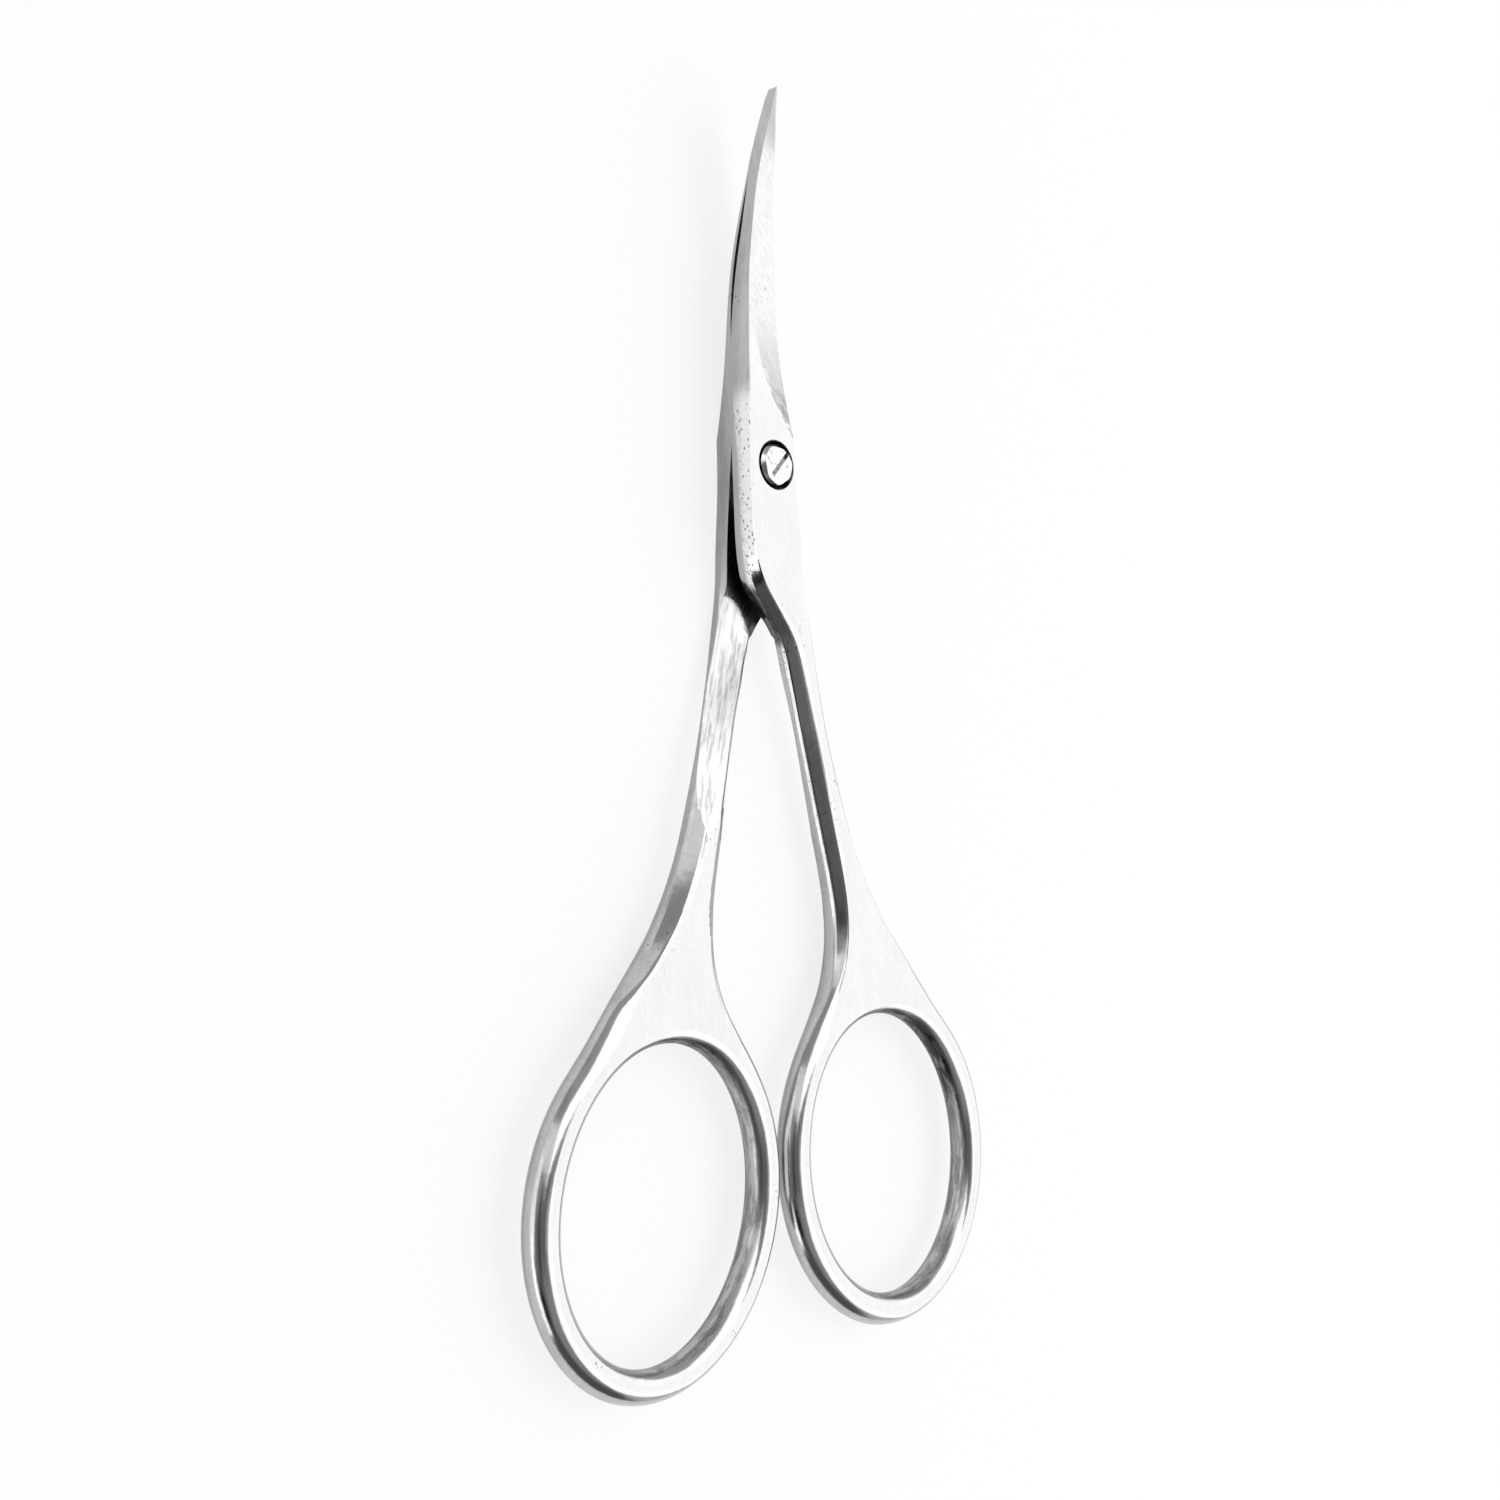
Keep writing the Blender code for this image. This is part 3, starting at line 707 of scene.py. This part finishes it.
def forged_blank(s, name, rise_sign):
    """Grow the forging of one half out of its ring: shank, box and blade in one skin."""
    bm = bmesh.new()
    crease = bm.edges.layers.float.new("crease_edge")
    row = open_web(s, bm, spin_ring(s, bm))
    sharp, ridge = 0, 0
    for points, next_sharp, next_ridge in forging_rows(s, rise_sign):
        after = grow(bm, row, points)
        for k, kept in ((0, 1), (4, s.outer_edge), (7, 1), (11, s.outer_edge)):
            bm.edges.get((row[k], after[k]))[crease] = sharp * kept
        for k in (5, 6, 12, 13):
            bm.edges.get((row[k], after[k]))[crease] = ridge
        row, sharp, ridge = after, next_sharp, next_ridge
    rim = [bm.edges.get(pair) for pair in zip(row, row[1:] + row[:1])]
    for edge in rim:
        edge[crease] = 1
    bmesh.ops.holes_fill(bm, edges=rim, sides=0)
    blank = new_object(name, bm)
    rounding = blank.modifiers.new("Rounding", "SUBSURF")
    rounding.levels = s.smoothing
    rounding.render_levels = s.smoothing
    return blank


def tool_row(s, left, right, hollow=0, fewer=0):
    """Give the points across a tool between two sides. A hollow lifts the middle ones."""
    points = []
    strips = s.strips - fewer
    for strip in range(strips + 1):
        way = strip / strips
        points.append(left.lerp(right, way) + Vector((0, 0, hollow * 4 * way * (1 - way))))
    return points


def grinding_tool(name, rows, floor):
    """Make a closed cutter whose working face runs through rows of points, closed at a
    floor height."""
    bm = bmesh.new()
    row = None
    for points in rows:
        if row:
            row = grow(bm, row, points, closed=False)
        else:
            row = [bm.verts.new(point) for point in points]
            for pair in zip(row, row[1:]):
                bm.edges.new(pair)
    made = bmesh.ops.extrude_face_region(bm, geom=bm.faces[:], use_keep_orig=True)["geom"]
    for item in made:
        if isinstance(item, bmesh.types.BMVert):
            item.co.z = floor
    return new_object(name, bm)


def turned_tool(s, name, profile, facets):
    """Spin a closed cutter from its profile of radii and heights."""
    bm = bmesh.new()
    points = [bm.verts.new((radius, 0, height)) for radius, height in profile]
    edges = [bm.edges.new(pair) for pair in zip(points, points[1:])]
    bmesh.ops.spin(bm, geom=points + edges, cent=(0, 0, 0), axis=(0, 0, 1), angle=math.tau,
                   steps=facets, use_merge=True)
    bmesh.ops.remove_doubles(bm, verts=bm.verts[:], dist=s.ride_gap / 100)
    return new_object(name, bm)


def mating_tool(s, name, rise_sign):
    """Cutter under the mating face: flat at the pivot, curved with the blade, relieved
    below the pivot towards the outer side, and running out along the shank."""
    level = s.ride_gap / 2
    side = s.spine_half + s.overrun
    start = s.blade + s.overrun
    rows = []
    for k in range(s.steps + 1):
        y = start + (s.curve_start - start) * k / s.steps
        height = rise_sign * blade_rise(s, y) + level
        rows.append(tool_row(s, Vector((-side, y, height)), Vector((side, y, height))))
    relieved = level + s.relief
    for along, depth in RELIEF_SHARES:
        y = -along * s.shoulder_drop
        rows.append(tool_row(s, Vector((-side, y, level)),
                             Vector((side, y, level + depth * s.relief))))

    corner = Vector((SHOULDER_CORNER_SHARE * s.spine_half, -s.shoulder_drop))
    crotch = Vector((0, -s.crotch_drop))
    along = (crotch - corner).normalized()
    away = Vector((-along.y, along.x))
    away *= math.copysign(s.shoulder_clearance, -away.y)
    outer_end = corner - along * 2 * s.overrun + away
    inner_end = crotch + along * 2 * s.overrun + away
    rows.append(tool_row(s, Vector((*inner_end, level)), Vector((*outer_end, relieved))))

    reach = s.ring_drop - s.crotch_drop
    scoop = [(place, *inner, *outer) for place, (inner, outer) in enumerate(SCOOP_SHARES)]
    for k in range(s.scoop_steps + 1):
        shares = smooth_row(scoop, k * (len(scoop) - 1) / s.scoop_steps)
        inner, outer = (
            Vector((across * ring_offset(s), -s.crotch_drop - down * reach,
                    height * s.box_half))
            for down, across, height in (shares[:3], shares[3:]))
        across = (outer - inner).normalized()
        edge = [inner + across * (way * s.scoop_edge) + Vector((0, 0, deeper * s.scoop_drop))
                for way, deeper in SCOOP_EDGE_SHARES]
        beyond = edge[0] - across * s.overrun
        beyond.z += s.overrun / 2
        rest = tool_row(s, edge.pop(), outer + across * s.overrun, s.scoop_hollow,
                        1 + len(edge))
        rows.append([beyond] + edge + rest)
    return grinding_tool(name, rows, -blade_rise(s, start) - s.shank - s.overrun)


def bevel_tool(s, name, rise_sign):
    """Cutter over the ground bevel, which falls from the spine to the cutting edge."""
    side = s.spine_half + s.overrun
    first, last = BEVEL_SHARES[0][0], BEVEL_SHARES[-1][0]
    rows = []
    for k in range(s.steps + 1):
        along = first + (last - first) * k / s.steps
        height, fall = smooth_row(BEVEL_SHARES, along)
        y = along * s.blade
        middle = rise_sign * blade_rise(s, y) + height * s.box_half
        rows.append(tool_row(s, Vector((-side, y, middle + fall * side)),
                             Vector((side, y, middle - fall * side))))
    return grinding_tool(name, rows, blade_rise(s, s.blade) + 2 * (s.box_half + side))


def cut(target, tools):
    """Cut tools out of an object, mark each cut face with its tool's name, and drop the
    tools. The result is the object's own mesh."""
    for tool in tools:
        tool.data.materials.append(bpy.data.materials.new(tool.name))
        boolean = target.modifiers.new(tool.name, "BOOLEAN")
        boolean.operation = "DIFFERENCE"
        boolean.solver = "EXACT"
        boolean.material_mode = "TRANSFER"
        boolean.object = tool
    target.data.materials.append(bpy.data.materials.new("skin"))
    scene_graph = bpy.context.evaluated_depsgraph_get()
    target.data = bpy.data.meshes.new_from_object(target.evaluated_get(scene_graph))
    target.modifiers.clear()
    for tool in tools:
        bpy.data.objects.remove(tool, do_unlink=True)


def ramp(value, low, high):
    """Rise from 0 at low to 1 at high. Low may lie above high."""
    return min(max((value - low) / (high - low), 0), 1)


def shares_ramp(value, size, shares):
    """Rise from 0 to 1 between two shares of a size."""
    return ramp(value, size * shares[0], size * shares[1])


def mark_finish(s, mesh):
    """Turn the marks of the tools into attributes, mark the wall of the finger hole, and mark
    where shade is painted.
    """
    names = [material.name.split("_")[-1] for material in mesh.materials]
    for mark in TOOL_MARKS:
        values = [float(names[face.material_index].startswith(mark)) for face in mesh.polygons]
        mesh.attributes.new(mark, "FLOAT", "FACE").data.foreach_set("value", values)
    upright = Matrix.Rotation(-s.ring_lean, 2)
    ring_centre = Vector((ring_offset(s), -s.ring_drop))
    wall, skin = [], []
    for vert in mesh.vertices:
        place = upright @ (vert.co.xy - ring_centre)
        reach = math.hypot(place.x / s.hole_width, place.y / s.hole_height)
        inside = ramp(reach, *HOLE_WALL_SHARES)
        round_hole = math.degrees(math.atan2(place.y, place.x))
        wall.append(inside)
        # Part of the hole's wall, round its right and top, gets painted shade.
        skin.append(inside * ramp(round_hole, *HOLE_SHADE_START_DEGREES)
                    * ramp(round_hole, *HOLE_SHADE_END_DEGREES))
    for mark, values in zip(WALL_MARKS, (wall, skin)):
        mesh.attributes.new(mark, "FLOAT", "POINT").data.foreach_set("value", values)
    here = mesh.attributes.new("half_place", "FLOAT_VECTOR", "POINT")
    here.data.foreach_set("vector", [value for vert in mesh.vertices for value in vert.co])
    sides, spine, dull_and_shade = [], [], []
    for face in mesh.polygons:
        normal, centre = face.normal, face.center
        sides.append(abs(normal.z) < SIDE_TILT)
        spine.append(normal.x < -SPINE_TILT and -s.shoulder_drop < centre.y < s.curve_start)
        # Painted shade on the walls of the crotch and along the shank's inner edge, standing
        # in for dark reflections there.
        crotch = shares_ramp(centre.y, -s.shoulder_drop, CROTCH_SHOULDER_SHARES)
        crotch *= shares_ramp(centre.y + centre.x / 2, -s.nook_drop, CROTCH_NOOK_SHARES)
        crotch *= abs(normal.z) < CROTCH_TILT and centre.x < s.nook_width
        edge = shares_ramp(centre.y, -s.crotch_drop, EDGE_CROTCH_SHARES)
        edge *= shares_ramp(centre.y, -s.ring_drop, EDGE_RING_SHARES)
        edge *= normal.x < -EDGE_TILTS[0] and normal.z < -EDGE_TILTS[1]
        dull_and_shade.append(max(crotch, edge * EDGE_SHADE))
    for mark, values in zip(FACE_MARKS, (sides, spine, dull_and_shade)):
        mesh.attributes.new(mark, "FLOAT", "FACE").data.foreach_set("value", values)
    mesh.polygons.foreach_set("material_index", [0] * len(mesh.polygons))
    mesh.materials.clear()


def lay_down(thing, turned=None):
    """Put a piece's mesh where the piece lies on the finished scissors."""
    if turned:
        thing.data.transform(turned)
    thing.data.transform(Matrix.Translation(PIVOT))


def new_steel(name):
    """Start a steel material, and give it with its place on the object."""
    material = bpy.data.materials.new(name)
    material.use_nodes = True
    wire = Wire(material.node_tree)
    return material, wire.node("ShaderNodeTexCoord", output="Object")


def finish_steel(material, shade, gloss, height, strength, distance):
    """Feed a steel material its colour, its roughness and the height of its bump."""
    tree = material.node_tree
    bump = height.node("ShaderNodeBump", None,
                       {"Strength": strength, "Distance": distance, "Height": height})
    shader = tree.nodes["Principled BSDF"]
    shader.inputs["Metallic"].default_value = 1
    for name, wire in (("Base Color", shade), ("Roughness", gloss), ("Normal", bump)):
        tree.links.new(wire.socket, shader.inputs[name])
    return material


def polished_steel(settings, s, name):
    """Hand polished forged steel: wavy reflections, fine lines, pits, and rougher steel
    where a wheel doesn't reach, with painted shade on part of the finger hole, in the nook,
    on the crotch's walls and along the shank's inner edge."""
    material, place = new_steel(name)
    bevel, mating, bore, wall, skin, side, spine, dull_wall = (
        place.node("ShaderNodeAttribute", {"attribute_name": mark}, output="Fac")
        for mark in TOOL_MARKS + WALL_MARKS + FACE_MARKS)
    half_place = place.node("ShaderNodeAttribute", {"attribute_name": "half_place"},
                            output="Vector")
    aside, along, up = (
        half_place.node("ShaderNodeSeparateXYZ", None, {0: half_place}, output)
        for output in range(3))
    wave, peel, lines, grind, cloud, hoops, scratch, bands, stripes, patch, wear = (
        place.pattern(*row) for row in STEEL_PATTERNS.values())
    roughen = (peel - 0.5) * RAGGED

    # The nook's arc bounds darker steel: partly unpolished, partly painted shade under the
    # other half.
    beside = (s.nook_side - aside).most(0) / s.nook_width
    above = (along + s.nook_drop).most(0) / s.nook_height
    nook = mating * (beside * beside + above * above + roughen).ease(*NOOK_ARC_SHARES)
    nook = nook * along.ease(*(part * s.shoulder_drop for part in NOOK_SHOULDER_SHARES))
    ragged = up + roughen * MM + along.most(0) * BAND_SLOPE
    band = spine * ragged.ease(s.band_low, s.band_low + BAND_FADE)
    band = band * along.ease(*(part * s.curve_start for part in BAND_CURVE_SHARES))
    base = bevel * along.ease(*(part * s.curve_start for part in BASE_CURVE_SHARES))
    ground = mating * (1 - nook)

    cell = place.node("ShaderNodeTexVoronoi", {"feature": "F1"},
                      {"Vector": place.stretch(PIT_STRETCH), "Scale": PIT_SCALE,
                       "Randomness": 1})
    worn = band * wear.ease(*WEAR_FADE)
    pits = cell.ease(*PIT_FADE) * (
        patch.ease(*PATCH_FADE) * peel.ease(*PEEL_FADE)).most(worn)

    # How dark each mark makes the steel, from the polished steel at 0 to the rough steel at 1,
    # with the painted shade among them, and then how much each pattern wavers about that.
    streaks = hoops.ease(*HOOP_FADE)
    # Painted shade on part of the hole's wall, and duller streaked steel all round that wall.
    dull_and_shade = (skin * (0.56 + 0.46 * streaks)).most(wall * streaks * 0.42)
    # The nook: partly unpolished steel, partly painted shade under the other half.
    nook_tone = nook * (0.84 + 0.8 * (scratch - 0.5))
    # The crotch's walls and the shank's edge get painted shade.
    rough = dull_and_shade.most(nook_tone).most(dull_wall * 0.75).most(pits * 0.7).most(bore * 0.95)
    grain = ((lines - 0.5) * (0.08 + 0.5 * side) + (peel - 0.5) * 0.12
             + (cloud - 0.5) * (0.14 + 0.5 * side) + bevel * (grind - 0.5) * 0.4
             + ground * (bands.ease(*BANDS_FADE) * 0.42 - 0.06 + (scratch - 0.5) * 0.25)
             + base * (stripes.ease(*STRIPES_FADE) * 0.5 - 0.1))
    tone = rough + grain + 0.08
    shade = tone.blend((*settings.polished, 1), (*settings.rough, 1))
    foot = ragged.ease(s.band_low + BAND_FOOT, s.band_low)
    grainy = peel.ease(*BAND_GRAIN_FADE) * foot
    shade = (band * (0.95 - pits - grainy * 0.6)).blend(shade, (*settings.bright, 1))
    gloss = (settings.roughness + 0.12 * peel * lines
             + bevel * (settings.ground_roughness - settings.roughness)
             + wall.most(mating) * (settings.wall_roughness - settings.roughness)
             + band * 0.12)
    height = (wave * 3.2 + peel * 0.5 + lines * (0.08 + 0.2 * side) + bevel * grind * 0.3
              + ground * (scratch * 0.2 + bands * 0.6) + skin * hoops * 3.0 - pits * 0.8)
    return finish_steel(material, shade, gloss, height, 0.8, 0.01 * MM)


def turned_steel(settings, name):
    """Turned steel of the screw: rings from the lathe, a few dents and dull pits."""
    material, place = new_steel(name)
    around = place.node("ShaderNodeVectorMath", {"operation": "SUBTRACT"},
                        {0: place, 1: tuple(PIVOT)})
    rings = around.node("ShaderNodeTexWave", {"wave_type": "RINGS", "rings_direction": "Z"},
                        {"Vector": around, "Scale": 3500, "Distortion": 2.0,
                         "Detail": 2.0, "Detail Scale": 1.5})
    dents = place.pattern(*SCREW_DENTS).ease(*DENT_FADE)
    shade = (dents * 0.5).blend((*settings.polished, 1), (*settings.rough, 1))
    return finish_steel(material, shade, 0.16 + 0.10 * dents, rings * 1.5 - dents * 6, 0.6,
                        0.002 * MM)


def forge_half(settings, name, rise_sign, material):
    """Forge, grind and drill one half, and give it its finish."""
    s = settings.forging
    screw = settings.screw
    blank = forged_blank(s, name, rise_sign)
    deep = s.shank + s.overrun
    hole = screw.shank + screw.play
    tools = [
        mating_tool(s, name + "_mating", rise_sign),
        bevel_tool(s, name + "_bevel", rise_sign),
        turned_tool(s, name + "_bore", [(0, -deep), (hole, -deep), (hole, deep), (0, deep)],
                    screw.facets),
    ]
    if rise_sign > 0:
        seat = s.box_half - screw.head_height - screw.recess
        mouth = s.box_half + s.overrun
        wide = screw.head + screw.head_play
        rim = s.box_half - screw.rim
        tools.append(turned_tool(s, name + "_bore2", [
            (0, seat), (wide, seat), (wide, rim), (wide + mouth - rim, mouth), (0, mouth)],
            screw.facets))
    cut(blank, tools)
    mark_finish(s, blank.data)
    blank.data.set_sharp_from_angle(angle=CREASE_ANGLE)
    blank.data.materials.append(material)
    return blank


class SCISSORS_OT_forge_halves(bpy.types.Operator):
    """Forge, grind and polish the front half and the rear half"""

    bl_idname = "scissors.forge_halves"
    bl_label = "Forge the Halves"

    def execute(self, context):
        settings = context.scene.scissors
        material = polished_steel(settings.steel, settings.forging, "hand_polished_steel")
        front = forge_half(settings, "front_forging", 1, material)
        lay_down(front)
        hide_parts("front_half")
        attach(front, "front")
        rear = forge_half(settings, "rear_forging", -1, material)
        lay_down(rear, Matrix.Rotation(math.pi, 4, "Y"))
        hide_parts("rear_half")
        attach(rear, "rear")
        return {"FINISHED"}


class SCISSORS_OT_turn_screw(bpy.types.Operator):
    """Turn, slot and set the pivot screw"""

    bl_idname = "scissors.turn_screw"
    bl_label = "Turn the Screw"

    def execute(self, context):
        settings = context.scene.scissors
        s = settings.forging
        screw = settings.screw
        top = s.box_half - screw.top_recess
        seat = s.box_half - screw.recess - screw.head_height
        tail = screw.tail_recess - s.box_half
        flat = screw.head - screw.chamfer
        edge = screw.chamfer / 8
        made = turned_tool(s, "slotted_screw", [
            (0, tail), (screw.shank / 2, tail + screw.tail_dome / 4),
            (screw.shank, tail + screw.tail_dome), (screw.shank, seat), (screw.head, seat),
            (screw.head, top - screw.chamfer_drop - edge),
            (screw.head - edge, top - screw.chamfer_drop),
            (flat + edge, top - edge), (flat, top), (0, top)], screw.facets)
        # The flat is dressed by hand and off the middle, and so is the whole head.
        for vert in made.data.vertices:
            if vert.co.z > top - 2 * edge:
                angle = math.atan2(vert.co.y, vert.co.x)
                waver = screw.flat_waver * vert.co.xy.length / flat * sum(
                    size * math.sin(count * angle + phase)
                    for count, phase, size in FLAT_WAVES)
                vert.co.x += screw.flat_shift + waver * math.cos(angle)
                vert.co.y += waver * math.sin(angle) - screw.flat_shift * FLAT_FALL_SHARE
            if vert.co.z > seat - edge and vert.co.xy.length > screw.shank + edge:
                vert.co.x += screw.head_shift
                vert.co.y += screw.head_shift * HEAD_RISE_SHARE
        bm = bmesh.new()
        bmesh.ops.create_cube(bm, size=1)
        beyond = screw.head + s.overrun
        size = (screw.slot_reach + beyond, screw.slot_width, 2 * screw.slot_depth)
        bmesh.ops.scale(bm, vec=size, verts=bm.verts[:])
        bmesh.ops.translate(bm, vec=((beyond - screw.slot_reach) / 2, -screw.slot_shift, top),
                            verts=bm.verts[:])
        bmesh.ops.rotate(bm, matrix=Matrix.Rotation(screw.slot_angle, 3, "Z"),
                         verts=bm.verts[:])
        cut(made, [new_object("slot", bm, smooth=False)])
        made.data.materials.clear()
        made.data.set_sharp_from_angle(angle=CREASE_ANGLE)
        made.data.materials.append(turned_steel(settings.steel, "turned_screw_steel"))
        lay_down(made)
        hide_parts("pivot_screw")
        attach(made, "rear")
        return {"FINISHED"}


def rays(wire):
    """Tell the rays that show the background: seen straight, mirrored and through glass."""
    path = wire.tree.nodes.new("ShaderNodeLightPath")
    names = ("Is Camera Ray", "Is Glossy Ray", "Is Transmission Ray")
    return [Wire(wire.tree, path.outputs[name]) for name in names]


def heading(azimuth, elevation):
    """Give the direction at an azimuth from +X towards +Y and an elevation, in degrees."""
    azimuth, elevation = math.radians(azimuth), math.radians(elevation)
    return Vector((math.cos(azimuth) * math.cos(elevation),
                   math.sin(azimuth) * math.cos(elevation), math.sin(elevation)))


class SCISSORS_OT_set_stage(bpy.types.Operator):
    """Lay the floor, hang the soft lamp and set the camera"""

    bl_idname = "scissors.set_stage"
    bl_label = "Set the Stage"

    def execute(self, context):
        stage = context.scene.scissors.stage
        self.lay_floor(stage)
        self.light_room(context.scene, stage)
        self.hang_lamp(stage)
        self.set_camera(context.scene, stage)
        context.scene.view_settings.view_transform = "Standard"
        return {"FINISHED"}

    def lay_floor(self, stage):
        """Lay a pale floor whose white mostly shows without light, and which keeps the
        shadow."""
        bm = bmesh.new()
        bmesh.ops.create_grid(bm, x_segments=1, y_segments=1, size=stage.floor_size / 2)
        floor = new_object("floor", bm, smooth=False)
        material = bpy.data.materials.new("pale_floor")
        material.use_nodes = True
        tree = material.node_tree
        tree.nodes.remove(tree.nodes["Principled BSDF"])
        wire = Wire(tree)
        camera, mirrored, through = rays(wire)
        seen = camera.most(mirrored).most(through)
        lit = 1 - stage.floor_glow
        tint = seen.blend((*stage.floor, 1), (lit, lit, lit, 1))
        tint = mirrored.blend(tint, (*(3 * [stage.floor_lit]), 1))
        diffuse = wire.node("ShaderNodeBsdfDiffuse", None, {"Color": tint})
        level = (seen - mirrored) * stage.floor_glow + mirrored * stage.floor_mirror
        glow = wire.node("ShaderNodeEmission", None,
                         {"Color": (1, 1, 1, 1), "Strength": level})
        both = wire.node("ShaderNodeAddShader", None, {0: diffuse, 1: glow})
        tree.links.new(both.socket, tree.nodes["Material Output"].inputs["Surface"])
        floor.data.materials.append(material)

    def light_room(self, scene, stage):
        """Give the room its even light, and mirrors an even wall with dark and light
        panels on it."""
        world = bpy.data.worlds.new("studio")
        scene.world = world
        world.use_nodes = True
        tree = world.node_tree
        wire = Wire(tree)
        camera, mirrored, through = rays(wire)
        outward = wire.node("ShaderNodeTexCoord", output="Generated")
        bright = stage.room
        for *place, level in DARK_PANELS:
            bright = bright - self.panel(outward, *place) * level
        for *place, level in LIGHT_PANELS:
            bright = bright.most(self.panel(outward, *place) * level)
        level = camera.most(through) + mirrored * bright.most(0)
        plain = (1 - camera.most(mirrored).most(through)) * stage.ambient
        background = tree.nodes["Background"]
        background.inputs["Color"].default_value = (1, 1, 1, 1)
        tree.links.new((level + plain).socket, background.inputs["Strength"])

    def panel(self, outward, azimuth, elevation, wide, high, soft):
        """Give 1 inside a soft-edged panel round a direction, with its half width, half
        height and edge in degrees."""
        ahead = heading(azimuth, elevation)
        aside = heading(azimuth + 90, 0)
        reach = [outward.node("ShaderNodeVectorMath", {"operation": "DOT_PRODUCT"},
                              {0: outward, 1: tuple(axis)}, 1)
                 for axis in (ahead, aside, ahead.cross(aside))]
        panel = reach[0].ease(0, 0.1)
        for place, half in zip(reach[1:], (wide, high)):
            inner, outer = math.sin(math.radians(half)), math.sin(math.radians(half + soft))
            panel = panel * (place * place).ease(outer ** 2, inner ** 2)
        return panel

    def hang_lamp(self, stage):
        """Hang a square soft lamp that looks at the scissors and shows as a plain panel."""
        lamp = bpy.data.lights.new("key_lamp", "AREA")
        lamp.shape = "SQUARE"
        lamp.size = stage.key_size
        lamp.energy = stage.key_level * math.pi * stage.key_size ** 2
        thing = bpy.data.objects.new("key_lamp", lamp)
        direction = heading(*KEY_HEADING)
        thing.location = direction * stage.key_distance
        thing.rotation_euler = direction.to_track_quat("Z", "Y").to_euler()
        thing.visible_camera = False
        bpy.context.collection.objects.link(thing)

    def set_camera(self, scene, stage):
        """Set the camera where the photograph was taken from, at its angle."""
        data = bpy.data.cameras.new("camera")
        data.lens = stage.lens
        data.sensor_width = 36
        data.clip_start = MM
        camera = bpy.data.objects.new("camera", data)
        stand = Matrix.Translation(Vector(CAMERA_PLACE) * MM)
        for angle, axis in CAMERA_TURNS:
            stand = stand @ Matrix.Rotation(angle, 4, axis)
        camera.matrix_world = stand
        bpy.context.collection.objects.link(camera)
        scene.camera = camera


class SCISSORS_PT_workbench(bpy.types.Panel):
    """Lists the steps that make the scissors"""

    bl_idname = "SCISSORS_PT_workbench"
    bl_label = "Cuticle Scissors"
    bl_space_type = "VIEW_3D"
    bl_region_type = "UI"
    bl_category = "Scissors"

    def draw(self, context):
        settings = context.scene.scissors
        for operator in (SCISSORS_OT_forge_halves, SCISSORS_OT_turn_screw,
                         SCISSORS_OT_set_stage):
            self.layout.operator(operator.bl_idname)
        for group in (settings.forging, settings.screw, settings.steel, settings.stage):
            box = self.layout.box()
            for name in group.__annotations__:
                box.prop(group, name)


classes = (
    ScissorsForging, ScissorsScrew, ScissorsSteel, ScissorsStage, ScissorsSettings,
    SCISSORS_OT_forge_halves, SCISSORS_OT_turn_screw, SCISSORS_OT_set_stage,
    SCISSORS_PT_workbench,
)


def register():
    """Add the classes and the scene's settings."""
    for item in classes:
        bpy.utils.register_class(item)
    bpy.types.Scene.scissors = PointerProperty(type=ScissorsSettings)


def unregister():
    """Take the classes and the scene's settings away."""
    del bpy.types.Scene.scissors
    for item in reversed(classes):
        bpy.utils.unregister_class(item)


def main():
    """Make the scissors and the stage."""
    register()
    bpy.ops.scissors.forge_halves()
    bpy.ops.scissors.turn_screw()
    bpy.ops.scissors.set_stage()


if __name__ == "__main__":
    main()
